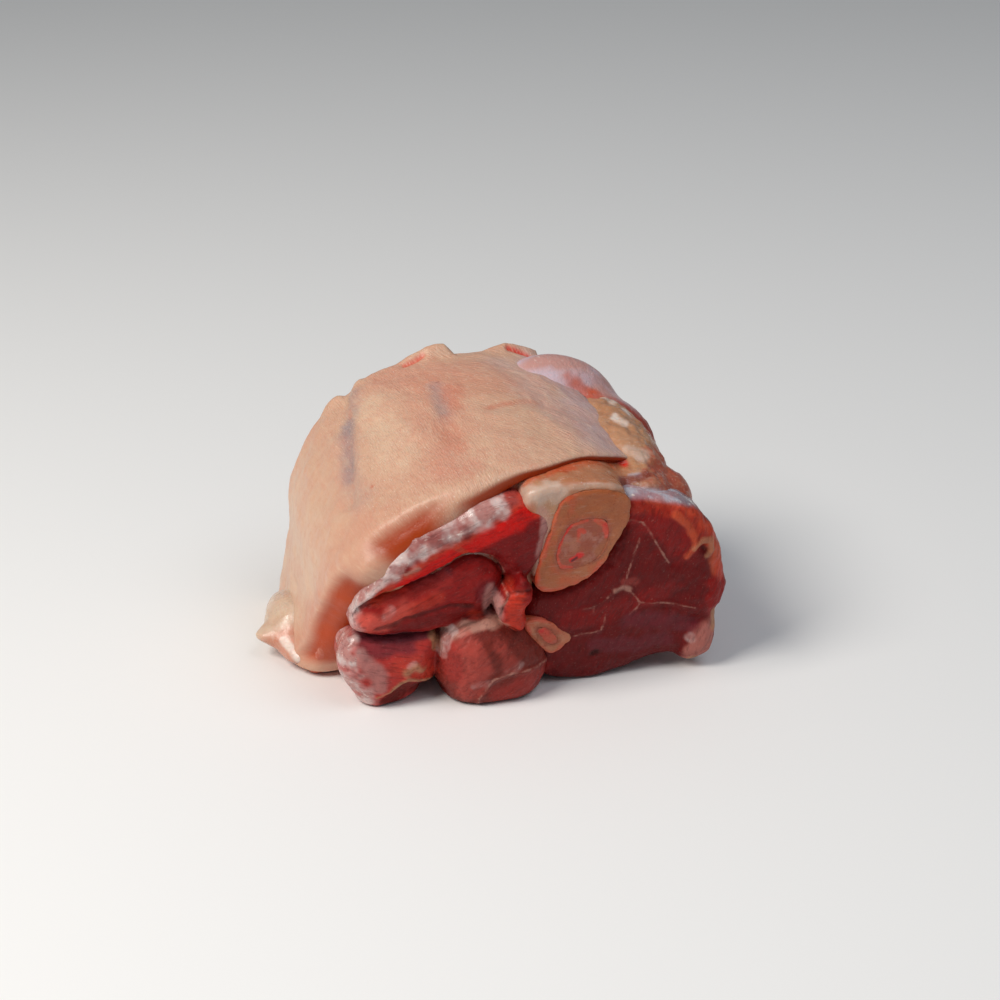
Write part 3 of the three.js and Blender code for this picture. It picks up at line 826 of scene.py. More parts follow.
# Strokes on the front face: colour, half width in mm, strength, and path in x and z.
LEAN_STROKES = [
    ("flesh_pink", 3.0, 0.9, [(-3, 66), (-9, 67.5), (-17, 65.5)]),
    ("orange_red", 3.4, 0.85, [(-50, 39.5), (-44, 43), (-37, 48.5), (-30, 52.5), (-24, 54)]),
    ("bright_red", 2.6, 1.0, [(-43, 42.5), (-37, 46), (-31, 50.5), (-25, 52)]),
    ("orange_red", 2.8, 0.9, [(-21, 56.5), (-12, 62), (-4, 65)]),
    ("bright_red", 2.9, 1.0, [(-23, 53.5), (-15, 58.5), (-7, 62.5)]),
    ("fascia", 0.7, 0.7, [(-42, 47.7), (-38.4, 49.2)]),
    ("orange_red", 0.9, 0.9, [(-27.5, 55.2), (-23, 50.7)]),
    ("pink_film", 1.2, 0.8, [(-0.6, 62.4), (-1.2, 53.9), (-2.6, 41.6)]),
    ("maroon", 2.4, 0.8, [(-10, 43), (-6, 42), (-4, 46)]),
    # Painted shade along the crease between the upper and middle left muscles.
    ("dark_grain_and_crease_shade", 0.8, 0.9, [(-47.3, 40.3), (-38.9, 42.2), (-33, 45.2), (-26.3, 49.8),
                              (-20, 51)]),
    ("purple", 2.2, 0.6, [(-38, 42.5), (-29.4, 45.2)]),
    ("film_red", 2.6, 0.6, [(-46, 36.5), (-38, 40), (-30, 43)]),
    # Painted light: the left tip of the middle left muscle made brighter where it is lit.
    ("flesh_painted_light", 3.6, 0.75, [(-54, 31), (-48, 31), (-43, 33.5)]),
    ("orange_red", 2.0, 0.4, [(-42, 33), (-32, 37)]),
    # Painted shade over the lower part of the middle left muscle.
    ("deep_red_and_shade", 2.4, 0.65, [(-44, 27.3), (-34, 29.5), (-24, 30), (-18, 30)]),
    # Painted shade in the middle groove.
    ("dark_grain_and_crease_shade", 0.8, 0.6, MIDDLE_GROOVE),
    ("purple", 3.2, 0.5, [(-17, 38), (-16, 36)]),
    ("orange_red", 1.5, 0.5, [(-21, 29.4), (-17, 28)]),
    # Painted shade along the crease between the middle and lower left muscles.
    ("purple", 1.4, 0.9, [(-55.5, 25.6), (-50, 24), (-42, 23.4), (-33.3, 23.4)]),
    ("pink_film", 2.0, 0.9, [(-16.2, 38), (-16, 33), (-15.8, 29.5)]),
    ("fascia", 1.3, 0.95, [(-12.8, 27.4), (-16.1, 27.2), (-23.5, 26.6), (-28.9, 23.4)]),
    ("purple", 3.0, 0.7, [(-53, 21), (-48, 21), (-41, 21)]),
    ("pink_film", 2.8, 0.7, [(-55, 19), (-51, 14), (-49, 8)]),
    ("orange_red", 3.2, 0.4, [(-43, 15), (-36, 14)]),
    ("fat", 1.7, 0.9, [(-32.4, 22.6), (-31.8, 19.5)]),
    ("fat", 1.6, 0.75, [(-41, 12.6), (-38.2, 13.6), (-36.6, 12)]),
    ("orange_red", 1.8, 0.7, [(-38, 10.5), (-33, 9.5)]),
    # The underside of the lower left muscle's flap: dark red, partly its own colour and partly painted
    # shade.
    ("under", 3.2, 0.95, [(-46, 2), (-43.5, 5), (-40, 6.6), (-36, 4.5), (-31.5, 2.5)]),
    ("fat", 0.6, 0.85, [(-50, 4.5), (-46.5, 6), (-42.9, 9.1), (-40.8, 10), (-38, 9),
                        (-35.5, 8), (-31.8, 6.3)]),
    # Painted light: lighter bands over the round muscle's upper part.
    ("round_painted_light", 3.6, 0.7, [(-24, 22), (-21, 14), (-23, 6)]),
    ("round_painted_light", 2.2, 0.45, [(-14, 21), (-11, 14)]),
    ("film_red", 2.6, 0.5, [(-28.5, 20), (-28, 12)]),
    ("film_red", 4.5, 0.45, [(-13, 4), (-6, 5.5), (0, 6)]),
    ("orange_red", 3.0, 0.6, [(-10, 37), (-9.5, 31), (-9, 28)]),
    ("rim_red", 2.4, 0.9, [(25.4, 62.6), (35, 60.5), (43.5, 55.8), (50, 49), (54.5, 41),
                           (55, 35)]),
    ("orange_red", 2.0, 0.5, [(40, 59), (47, 54), (52.5, 47)]),
    ("brown_red", 6.0, 0.8, [(28, 59), (36, 54), (44, 46)]),
    ("tongue", 4.5, 0.6, [(56, 30), (56, 24)]),
    ("orange_red", 2.0, 0.5, [(56, 38), (57, 33)]),
    ("rim_red", 1.2, 0.8, RIM_LINE),
    ("fat", 0.9, 0.6, FAT_LOOP),
    # Painted shade in the hollow of the fat loop.
    ("dark_grain_and_crease_shade", 0.7, 0.6, LOOP_HOLLOW),
    ("fascia", 0.9, 0.7, [(22.6, 32.4), (25.0, 33.4), (27.0, 32.2)]),
    ("flesh_pink", 1.6, 0.5, [(25.6, 35), (28.4, 35)]),
    ("deep_left", 5.0, 0.7, [(2, 27), (10, 30), (17, 36)]),
    ("purple", 2.8, 0.5, [(18, 14), (30, 11), (40, 12)]),
    ("purple", 3.0, 0.5, [(28, 21), (40, 19), (48, 16)]),
    ("brown_red", 3.0, 0.5, [(8, 24), (18, 23), (27, 27), (40, 31)]),
    # Painted shade in the small pit.
    ("dark_grain_and_crease_shade", 1.0, 0.85, SMALL_PIT),
    ("tag_pink", 4.0, 0.75, [(50, 6), (52, 13)]),
    ("fat", 1.2, 0.8, [(56.3, 18.8), (55.4, 14.5)]),
    ("fat", 1.1, 0.8, [(50.6, 3.2), (48.8, 3.8)]),
]

# Wet films, pale as membrane and partly a painted highlight, and small painted highlights: half width,
# strength, and path in x and z.
WET_FILMS_AND_HIGHLIGHTS = [
    (3.4, 1.0, [(-15, 66.0), (-22, 62.6), (-28, 60), (-36, 57), (-42, 53), (-48, 47.5)]),
    (2.5, 1.0, [(-48, 47.5), (-52.6, 42), (-56, 36.6), (-57.6, 31.8), (-56.4, 28.5)]),
    (3.2, 1.0, [(-58.5, 26.0), (-60, 21), (-59.0, 13), (-56, 7), (-52.5, 3)]),
    # Painted highlight on the middle left muscle.
    (1.6, 0.55, [(-47.5, 33.2), (-45.6, 35)]),
    (1.0, 0.7, [(-27, 25.6), (-29.6, 22), (-30.2, 17)]),
    (0.9, 0.6, [(-40.5, 14.4), (-38.8, 15.2)]),
    # Painted highlight on the foot tag.
    (1.6, 0.6, [(46.8, 12.2), (47.6, 12.6)]),
    (1.2, 0.25, [(-22, 8), (-15, 9.5), (-8, 14)]),
]

# Low ridges and grooves: height, half width, and path in x and z.
RIDGES = [
    (-0.7, 1.3, MIDDLE_GROOVE),
    (0.6, 2.2, [(-52, 31.5), (-45, 33.5), (-36, 36.5)]),
    (-0.5, 0.8, [(-20, 36), (-19.6, 38.5), (-17.5, 40.4), (-14.8, 39.8), (-13.4, 37)]),
    (-1.3, 3.2, [(-46, 1.5), (-42, 4.5), (-36, 3), (-31.5, 1.5)]),
    (0.7, 0.9, [(-50, 4.5), (-46.5, 6), (-42.9, 9.1), (-40.8, 10.2), (-38, 9.2), (-35.5, 8.2),
                (-31.8, 6.6)]),
    (0.6, 1.2, [(-41, 12.8), (-38.2, 13.8), (-36.6, 12.2)]),
    (-0.6, 2.0, [(-52, 20), (-46, 18.5)]),
    (0.35, 0.9, [(-20.3, -1), (-20.4, 3.5), (-16.6, 9.2), (-10.5, 11), (1.8, 10.2)]),
    (0.5, 1.0, RIM_LINE),
    (0.8, 1.0, FAT_LOOP),
    (-0.7, 1.3, LOOP_HOLLOW),
    (-0.5, 1.8, [(40, 40), (48, 37.5), (54, 36)]),
    (-0.6, 0.7, SMALL_PIT),
    (-0.6, 1.6, [(44, 19), (50, 18.5), (56, 20)]),
    (-0.5, 1.2, [(44.5, 8), (46.5, 14)]),
]

# Thin white sheets between the muscles, seen end-on: paths in x and z.
FASCIA = {
    "lean_left": [
        [(-21.5, 51.8), (-16, 49.8), (-12.6, 46), (-11.7, 42.4), (-12.3, 38.2), (-14, 35),
         (-16.7, 33)],
        [(-20.3, 0), (-20.4, 3.5), (-16.6, 10), (-10.5, 11.7), (1.8, 10.9)],
    ],
    "lean_right": [
        [(24.1, 55.3), (25.9, 56.7), (29.1, 56), (31.4, 53), (34.6, 47.1), (38.8, 40.1)],
        [(29, 50.2), (28, 45.3), (26.4, 39.6), (24.9, 33.8)],
        [(24.9, 33.8), (21.4, 31.5), (18.8, 29.1), (15.7, 27.2), (12.9, 27.1)],
        [(25.7, 33.2), (29.2, 29.4), (30.6, 26.9), (36.4, 26.3), (42.2, 24.9), (48.1, 22.9)],
        [(30.6, 26.9), (30, 25.1), (27.7, 23.1)],
        [(16.1, 27.1), (16.3, 25.2)],
        [(20, 24.2), (19.9, 21.4), (18.8, 18.2), (14.3, 18), (10.3, 17.6)],
    ],
}

# Where red flesh shows along the rind's right-hand edge: from y, to y, half width, strength.
EDGE_REDS = [(38, 30, 1.7, 0.8), (24, 15, 2.2, 0.7), (11, 3, 3.0, 0.75)]

# The lean is two pieces: the muscles of each, its lobes, its extent and its grid.
LEAN_GROUPS = {
    "lean_left": dict(names=("upper_left", "middle_left", "lower_left", "round", "tongue"),
                      lobes=(), low=(-69.0, -51.0, -0.8), high=(7.0, 41.5, 82.0), step=0.5,
                      widest=2.2),
    "lean_right": dict(names=("right",), lobes=tuple(LEAN_LOBES), low=(-13.0, -48.0, -0.8),
                       high=(63.0, 42.0, 88.0), step=0.52, widest=0.95),
}


def brush(colour, tint, points, path, width, strength, wobble, fade=1.0):
    """Colour with one stroke of a named colour laid over it."""
    distance = path_distance(points, path) + wobble * width
    cover = strength * (1 - smoothstep(0.55 * width, 1.45 * width, distance)) * fade
    return lerp(colour, linear(tint), cover[:, None])


def turned(points, degrees):
    """Points in the fibres' frame of a muscle, in x and z turned about Y."""
    a = math.radians(degrees)
    x = points[:, 0] * np.cos(a) + points[:, 2] * np.sin(a)
    z = -points[:, 0] * np.sin(a) + points[:, 2] * np.cos(a)
    return np.stack([x, points[:, 1], z], axis=1)


def lean_piece(piece, group):
    """One piece of lean, with its colours, wet films, seams and relief."""
    names = group["names"]
    lobes = {key: LEAN_LOBES[key] for key in group["lobes"]}
    low = group["low"]
    high = group["high"]
    points, faces = surface_of(functools.partial(lean_field, names, lobes), low, high,
                               group["step"], graded_rows(low[1], high[1], group["widest"]))
    normals = vertex_normals(points, faces)
    x, y, z = points.T
    face = points[:, [0, 2]]
    sides = np.stack([prism_outline(MUSCLES[k], OUTLINES[k], x, y, z) for k in names]
                     + [0 * x + 90], axis=1)
    order = np.sort(sides, axis=1)
    owner = sides.argmin(1)
    gap = order[:, 1] - order[:, 0]
    base = np.stack([linear(MUSCLES[k]["colour"]) for k in names] + [linear("maroon")])
    shares = np.exp(-(sides - order[:, :1]) / 0.7)
    shares /= shares.sum(1, keepdims=True)
    colour = shares @ base
    at_front = 1 - smoothstep(-34, -24, y)
    wobble = noise(points, 2.6, 11) * 0.45

    # Side walls of the muscles carry a thin silvery film.
    sideways = 1 - np.abs(normals[:, 1])
    film = smoothstep(0.45, 0.9, sideways + 0.3 * layered(points, (5, 14, 5), 21))
    colour = lerp(colour, linear("film_red"), (0.55 * film * (1 - at_front))[:, None])
    streaks = smoothstep(0.0, 1.1, layered(points, (2.5, 14, 2.5), 31))
    colour = lerp(colour, linear("lilac"), (0.35 * streaks * film * (1 - at_front))[:, None])

    for tint, width, strength, path in LEAN_STROKES:
        colour = brush(colour, tint, face, path, width, strength, wobble, at_front)

    # Wet films over the edges of the muscles, their pale colour partly a painted highlight, and small
    # painted highlights.
    wet = np.zeros(len(points))
    for width, strength, path in WET_FILMS_AND_HIGHLIGHTS:
        distance = path_distance(face, path) + 1.1 * wobble * width
        cover = strength * (1 - smoothstep(0.6 * width, 1.35 * width, distance))
        wet = np.maximum(wet, cover * (1 - smoothstep(-30, -16, y)))
    wet *= 0.45 + 0.55 * smoothstep(-0.55, 0.1, layered(points, (4.5, 8, 4.5), 183))
    tone = smoothstep(-0.4, 0.6, layered(points, (2.5, 4, 2.5), 181))
    sheet = lerp(linear("pink_film")[None], linear("membrane")[None], tone[:, None])
    colour = lerp(colour, sheet, (0.92 * wet)[:, None])

    # The moist sheet behind the rind's right-hand edge, and the silvery shoulder in front of it:
    # silverskin whose silver, laid where the surface faces up, is partly a painted sheen.
    back_sheet = smoothstep(2, 12, y) * smoothstep(60, 70, z) * smoothstep(0, 8, x)
    tone = smoothstep(-0.5, 0.7, layered(points, (9, 6, 9), 185))
    moist = lerp(linear("moist_pink")[None], linear("moist_lilac")[None], tone[:, None])
    colour = lerp(colour, moist, (0.95 * back_sheet)[:, None])
    band = (smoothstep(30, 38, x) * smoothstep(44, 54, z) * (1 - smoothstep(8, 18, y))
            * smoothstep(-28, -20, y))
    colour = lerp(colour, linear("brown_band"), (0.9 * band)[:, None])
    # Painted sheen over the silverskin where the shoulder faces up.
    shoulder = (smoothstep(0.55, 0.85, normals[:, 2]) * smoothstep(18, 26, x)
                * smoothstep(40, 50, z) * (1 - smoothstep(-26, -16, y)))
    sheen = 0.45 + 0.45 * smoothstep(-0.3, 0.6, layered(points, (5, 2, 3), 187))
    colour = lerp(colour, linear("silver"), (sheen * shoulder)[:, None])
    if piece == "lean_right":
        for start, end, width, strength in EDGE_REDS:
            ys = np.linspace(start, end, 5)
            edge = rind_point(0 * ys, ys, 1.0) + (3.2, 0, -0.8)
            colour = brush(colour, "orange_brown", flattened(points), flattened(edge), width,
                           strength, wobble)

    seam = np.full(len(points), 9.0)
    for path in FASCIA[piece]:
        seam = np.minimum(seam, path_distance(face, path) + 4 * (1 - at_front))
    # Painted shade: the colour darkened in the creases where two muscles meet.
    shaded_crease = np.exp(-(gap / 0.8) ** 2) * smoothstep(0.3, 1, np.abs(normals[:, 1]) + 0.3)
    colour = lerp(colour, linear("dark_grain_and_crease_shade"), (0.7 * shaded_crease * (1 - 0.8 * wet))[:, None])
    gloss = np.clip(0.15 * film + shoulder + 0.3 * back_sheet + wet, 0, 1)

    calm = 1 - 0.8 * np.maximum(back_sheet, shoulder)
    relief = calm * (0.45 * layered(points, 7.0, 41)
                     + 0.2 * (1 - 0.7 * wet) * layered(points, 2.2, 51))
    relief += 0.1 * np.exp(-(seam / 0.7) ** 2) - 0.2 * np.exp(-((seam - 1.4) / 0.8) ** 2)
    relief += 0.06 * wet * layered(points, (1.8, 3, 1.8), 55)
    for height, width, path in RIDGES:
        relief += height * at_front * np.exp(-((path_distance(face, path)
                                               + 0.5 * wobble) / width) ** 2)
    relief -= 0.45 * shaded_crease
    relief *= smoothstep(0, 3, z)
    grain = np.zeros_like(points)
    for k, name in enumerate(names):
        mine = owner == k
        grain[mine] = turned(points[mine], MUSCLES[name]["fibre"])
    along_leg = (at_front < 0.5) & (normals[:, 1] < 0.6)
    grain[along_leg] = points[along_leg][:, [1, 0, 2]]
    points = points + normals * relief[:, None]
    return make_piece(piece, points, faces, ["meat"], LEAN_SKIN,
                      {"paint": colour, "seam": np.minimum(seam, 5), "gloss": gloss, "grain": grain,
                       "calm": np.maximum(back_sheet, 0.7 * shoulder)})


# Strokes on the fat in space: colour, half width, strength, and path in x, y and z.
FAT_STROKES = [
    ("tan", 3.8, 0.9, [(3, -39, 71), (15, -40, 71), (25, -40, 70)]),
    ("tan", 2.6, 0.85, [(5, -46, 69.5), (14, -46.8, 70), (23, -46, 68)]),
    ("orange_brown", 3.2, 0.85, [(-10, -38, 68), (-4, -36, 71), (4, -34, 73), (14, -33, 74),
                                (24, -32, 73)]),
    ("white_fat", 3.2, 0.95, [(-7, -46, 69.5), (-2, -46.5, 69.8), (2, -46.5, 69.5)]),
    ("white_fat", 0.8, 0.6, [(4, -46.5, 70.3), (14, -46.8, 70.5), (23, -46, 68.5)]),
    ("fascia", 2.2, 0.8, [(-1, -45, 62), (-1, -43, 50), (-3, -41, 41)]),
    ("bright_red", 1.1, 0.95, [(15, -31, 73), (22, -31, 72.5), (28, -31, 69.5)]),
    ("bright_red", 0.8, 0.9, [(0.1, -33, 69)]),
    # Painted shadow below the ledge.
    ("purple", 1.6, 0.85, [(25, -36, 65.2), (33, -37, 62.8), (41, -34, 62)]),
    ("under", 1.6, 0.7, [(-12, -40, 66), (-8, -40, 66)]),
    ("fat", 3.2, 0.85, [(31, -39, 67), (38, -38, 66)]),
    # Silverskin over the ledge, its silver partly a painted sheen.
    ("silver", 1.0, 0.9, [(27.4, -38, 68.5), (30.5, -38, 68.1)]),
    ("silver", 1.8, 0.9, [(27.2, -41, 63.4), (31.2, -41, 62.9), (37, -38, 61.2)]),
    ("brown_band", 8.0, 0.85, [(44, -24, 60), (49, -26, 52), (48, -28, 46)]),
    ("white", 2.6, 0.95, [(38.5, 14, 71.5)]),
    ("white", 1.2, 0.8, [(33, -4, 72), (35, -8, 70.5)]),
    ("white", 1.0, 0.8, [(37, -12, 68.5), (39, -15, 67)]),
    ("white", 0.9, 0.8, [(38.6, 4, 70.4), (40, 1, 69)]),
    ("white_fat", 1.6, 0.8, [(31, -24, 70), (35, -28, 69)]),
    ("brown_band", 2.2, 0.9, [(45, 14, 68), (46.5, 0, 65), (48, -14, 61), (48, -22, 58)]),
    # Painted shade in the crease under the ledge.
    ("crease_shade_brown", 1.2, 0.85, [(25.5, -38, 66.6), (30.5, -38, 67.2), (35.5, -38, 68.1)]),
]


# The photograph's viewing direction. Strokes on the fat are laid along it, and stay on the object.
STROKE_DIRECTION = np.array([-0.235, -0.875, 0.423])
STROKE_FLATNESS = 0.8


def flattened(points):
    """Points drawn together along the stroke direction, so that a stroke reaches any depth."""
    points = np.asarray(points, float)
    depth = (points @ STROKE_DIRECTION)[:, None]
    return points - STROKE_FLATNESS * depth * STROKE_DIRECTION


# The fat is three pieces: the field of each, its extent, its grid and its rows in y.
FAT_GROUPS = {
    "fat_crest": dict(field=crest_field, low=(CREST_X - 0.5, -50.0, CREST_Z - 0.5),
                      high=(56.0, 31.0, 83.0), step=0.5, rows=graded_rows(-50.0, 31.0, 0.62)),
    "fat_core": dict(field=core_field, low=(-72.0, -44.0, -0.8), high=(52.0, 39.5, 82.0),
                     step=0.8, rows=graded_rows(-44.0, 39.5, 1.6)),
    "fat_foot": dict(field=foot_field, low=(-80.5, -14.0, -0.8), high=(-54.0, 27.0, 20.0),
                     step=0.4, rows=np.arange(-14.0, 27.0, 0.4)),
}


def fat_piece(name, field, low, high, step, rows):
    """One piece of fat, with its colours and relief."""
    points, faces = surface_of(field, low, high, step, rows)
    normals = vertex_normals(points, faces)
    x, y, z = points.T
    tone = smoothstep(-0.5, 0.6, layered(points, 7.0, 61))
    colour = lerp(linear("fat")[None], linear("yellow_fat")[None], tone[:, None])
    if name == "fat_foot":
        colour = lerp(linear("foot_white")[None], linear("white")[None], 0.3 * tone[:, None])
        pink = 1 - smoothstep(-1.0, 4.0, y + 0.4 * (z - 7))
        colour = lerp(colour, linear("skin_red"), (0.8 * pink)[:, None])
        red = 1 - smoothstep(1.5, 4.5, z + 1.2 * noise(points, 3.0, 65))
        colour = lerp(colour, linear("orange_brown"), (0.6 * red)[:, None])
        fold = path_distance(points, [(-72, -3, 8.5), (-70, -7, 7), (-68.5, -10, 5)])
        colour = lerp(colour, linear("white"), (0.8 * (1 - smoothstep(0.8, 2.0, fold)))[:, None])
    else:
        # The front of the fat on the left, lying back behind the lip: orange-brown, partly its own
        # colour and partly painted shade.
        hollow = (1 - smoothstep(-8, -2, x)) * (1 - smoothstep(-5, 5, y))
        colour = lerp(colour, linear("orange_brown"), hollow[:, None])
        # Painted shade: darker still where this fat shows in the gaps between the left muscles.
        between = hollow * (1 - smoothstep(52, 60, z)) * smoothstep(-60, -54, x)
        colour = lerp(colour, linear("dark_grain_and_crease_shade"), (0.8 * between)[:, None])
        wobble = noise(points, 2.4, 71) * 0.5
        flat = flattened(points)
        for tint, width, strength, path in FAT_STROKES:
            colour = brush(colour, tint, flat, flattened(path), width, strength, wobble)
    strip = 1 - smoothstep(0.9, 1.6, 1 + lobe_distance(FAT_LOBES["strip"], x, y, z) / 10)
    relief = 0.3 * layered(points, 6.0, 81) + strip * (0.6 * layered(points, 5, 91)
                                                       + 0.3 * layered(points, 2.2, 95))
    relief *= smoothstep(0, 3, z)
    gloss = smoothstep(0, 0.8, layered(points, 5.0, 101))
    points = points + normals * relief[:, None]
    return make_piece(name, points, faces, ["meat"], FAT_SKIN,
                      {"paint": colour, "gloss": gloss, "grain": points})


# ---------------------------------------------------------------- rind

SHEET_COLUMNS = 250
SHEET_ROWS = 150
LIP_END = 125.0
LIP_RETREAT = 0.15  # how far the lower half of the lip draws back
LIP_STEPS = 22
INNER_ROWS = 24
EDGE_STEPS = 6
LEAST_REACH = 0.2  # so that the inside of a tight lip never turns over

HOLLOW_DEPTH = 2.0
LIP_BUMP_SHARE = 0.632  # where one smooth bump swells over the meat's edge
LIP_BUMP_HEIGHT = 2.2
TORN_WAVE = 0.9
TORN_WAVE_LENGTH = 9.0


def rind_profile():
    """The closed loop round the sheet's thickness, as kinds of row: each gives what share of the
    way back it lies, the turn round the lip in degrees and the depth below the skin."""
    rows = [("flat", t, 0.0) for t in np.linspace(1, 0, SHEET_ROWS)]
    rows += [("lip", turn, 0.0) for turn in np.linspace(0, LIP_END, LIP_STEPS)[1:]]
    rows += [("end", turn, 0.0) for turn in np.linspace(0, 180, EDGE_STEPS + 2)[1:-1]]
    rows += [("lip", turn, 1.0) for turn in np.linspace(LIP_END, 0, LIP_STEPS // 2)[:-1]]
    rows += [("flat", t, 1.0) for t in np.linspace(0, 1, INNER_ROWS)]
    rows += [("back", turn, 0.0) for turn in np.linspace(180, 0, EDGE_STEPS + 2)[1:-1]]
    return rows


def sheet_thickness(share):
    """Full thickness, thinning to the right-hand edge and a little at the table."""
    edge = 1 - np.exp(-(share * RIND_WIDTH + 1.2) / 2.5)
    foot = 1 - np.exp(-((1 - share) * RIND_WIDTH + 3.0) / 2.0)
    return RIND_THICKNESS * edge * foot


VALLEYS = [
    (1.7, 4.2, [(0.44, 39), (0.46, 33), (0.495, 18), (0.533, 6), (0.555, -6), (0.57, -15)]),
    (0.7, 3.0, [(0.293, 14), (0.31, 6), (0.325, -2), (0.335, -14)]),
    (0.5, 3.5, [(0.09, 2), (0.14, -2), (0.24, -4)]),
    (1.2, 1.2, [(0.294, 35.6), (0.248, 36.8)]),
    (1.1, 1.2, [(0.08, 36.8), (0.042, 35.6), (0.014, 33.6)]),
]


def skin_swell(share, y):
    """How far the skin stands out of the smooth form."""
    shape = share.shape
    sheet = np.stack([share.ravel() * RIND_WIDTH, y.ravel(), 0 * y.ravel()], axis=1)
    swell = 0.8 * noise(sheet, 20, 111) + 0.35 * layered(sheet, 8, 121)
    for depth, width, path in VALLEYS:
        path = [(a * RIND_WIDTH, b) for a, b in path]
        swell -= depth * np.exp(-(path_distance(sheet[:, :2], path) / width) ** 2)
    where = wrinkle_share(sheet)
    lengthwise = layered(sheet, (1.5, 11.0, 1.0), 131, 2)
    turned_sheet = np.stack([0.77 * sheet[:, 0] - 0.63 * sheet[:, 1],
                             0.63 * sheet[:, 0] + 0.77 * sheet[:, 1], sheet[:, 2]], axis=1)
    slanted = layered(turned_sheet, (1.7, 10.0, 1.0), 141, 2)
    on_right = 1 - smoothstep(0.2, 0.34, share.ravel())
    swell += 0.07 * where * lerp(lengthwise, slanted, on_right)
    return swell.reshape(shape)


def torn_lift(share, y):
    """How far the torn back edge of the rind stands up, through its whole thickness."""
    shares, lifts = np.array(FLAP_LIFT).T
    return np.interp(share, shares, lifts) * smoothstep(33.5, 39, y)


def lip_hollow(share, turn):
    """Where the lip's lower half is hollow and shaded, 0..1, left out at one smooth bump."""
    reach = smoothstep(0.38, 0.48, share) * (1 - smoothstep(0.95, 0.99, share))
    bump = np.exp(-((share - LIP_BUMP_SHARE) / 0.048) ** 4)
    start = lerp(12, 7, smoothstep(0.66, 0.85, share))
    return reach * (1 - 0.9 * bump) * smoothstep(start, start + 24, turn)


def lip_bulge(share, turn):
    """The smooth bump on the lip that swells over the meat's edge, 0..1."""
    across = np.exp(-((share - LIP_BUMP_SHARE) / 0.04) ** 2)
    return across * np.exp(-((turn - 70) / 35) ** 2)


def wrinkle_share(sheet):
    """How wrinkled the skin is, 0..1, at points of the sheet in mm."""
    share = sheet[:, 0] / RIND_WIDTH
    return 0.3 + 0.7 * (1 - smoothstep(0.5, 0.6, share))


def rind_piece():
    """The rind: a sheet with a rolled lip in front and a torn edge at the back."""
    share = np.linspace(0, 1, SHEET_COLUMNS)
    radius = along(LIP_RADIUS, share)
    start = along(RIND_FRONT_Y, share) + radius
    thick = sheet_thickness(share)
    over = np.stack([share * RIND_WIDTH, 0 * share, 0 * share], axis=1)
    torn = TORN_WAVE * layered(over, TORN_WAVE_LENGTH, 145)
    back = RIND_BACK_Y + torn * smoothstep(0.42, 0.6, share) - thick / 2
    rows = []
    depths = []
    turns = []
    runs = []
    outward = []
    for kind, t, layer in rind_profile():
        depth = thick * layer
        turn = 0 * share
        if kind == "flat":
            y = lerp(start, back, t)
            inset = depth
        elif kind == "back":
            a = math.radians(t)
            y = back + thick / 2 * math.sin(a)
            inset = thick / 2 * (1 - math.cos(a))
            depth = inset
        else:
            turn = turn + (t if kind == "lip" else LIP_END)
            a = np.radians(turn)
            reach = np.maximum(radius - depth, LEAST_REACH)
            forward = 0 * share
            if kind == "end":
                depth = thick / 2 * (1 - math.cos(math.radians(t)))
                reach = np.maximum(radius - depth, LEAST_REACH)
                forward = thick / 2 * math.sin(math.radians(t))
            reach_out = reach * np.sin(a) * (1 - LIP_RETREAT * smoothstep(40, 100, turn))
            y = start - reach_out - forward * np.cos(a)
            inset = radius - reach * np.cos(a) + forward * np.sin(a)
        rows.append(rind_point(share, y, inset))
        depths.append(depth + 0 * share)
        turns.append(turn)
        runs.append(np.where(turn > 0, start - radius * np.radians(turn), y))
        fade = np.clip(1 - turn / 80, 0, 1) * np.clip(1 - depth / 2, 0, 1)
        swell = fade * skin_swell(share, y) + torn_lift(share, y)
        outward.append(swell + LIP_BUMP_HEIGHT * lip_bulge(share, turn)
                       - HOLLOW_DEPTH * lip_hollow(share, turn) * (depth < 0.5))
    points = np.stack(rows)
    count = len(points)
    inner = np.stack([rind_point(share, p[:, 1], 1.0) for p in points])
    outer = np.stack([rind_point(share, p[:, 1], 0.0) for p in points])
    points = points + (outer - inner) * np.stack(outward)[..., None]
    index = np.arange(count * SHEET_COLUMNS).reshape(count, SHEET_COLUMNS)
    ahead = np.roll(index, -1, axis=0)
    quads = np.stack([index[:, :-1], index[:, 1:], ahead[:, 1:], ahead[:, :-1]], -1).reshape(-1, 4)
    points = points.reshape(-1, 3)
    faces = quads.tolist()
    for column, turned_over in ((0, True), (SHEET_COLUMNS - 1, False)):
        faces += end_cap(index[:, column], turned_over)
    flat = np.array([f if len(f) == 4 else [*f, f[2]] for f in faces])
    if signed_volume(points, flat) < 0:
        faces = [f[::-1] for f in faces]
    shares = np.tile(share, count)
    depth = np.stack(depths).ravel()
    turn = np.stack(turns).ravel()
    sheet = np.stack([shares * RIND_WIDTH, np.stack(runs).ravel(), depth], axis=1)
    attributes = rind_paint(points, sheet, shares, turn, depth)
    return make_piece("rind", points, faces, ["meat"], rind_material(), attributes)


def end_cap(loop, turned_over):
    """Faces that close a loop which runs out along one side and back along the other."""
    n = len(loop)
    faces = []
    for i in range(n // 2):
        quad = [loop[i], loop[i + 1], loop[n - 2 - i], loop[n - 1 - i]]
        corners = [int(corner) for corner in dict.fromkeys(quad)]
        if len(corners) > 2:
            faces.append(corners if turned_over else corners[::-1])
    return faces


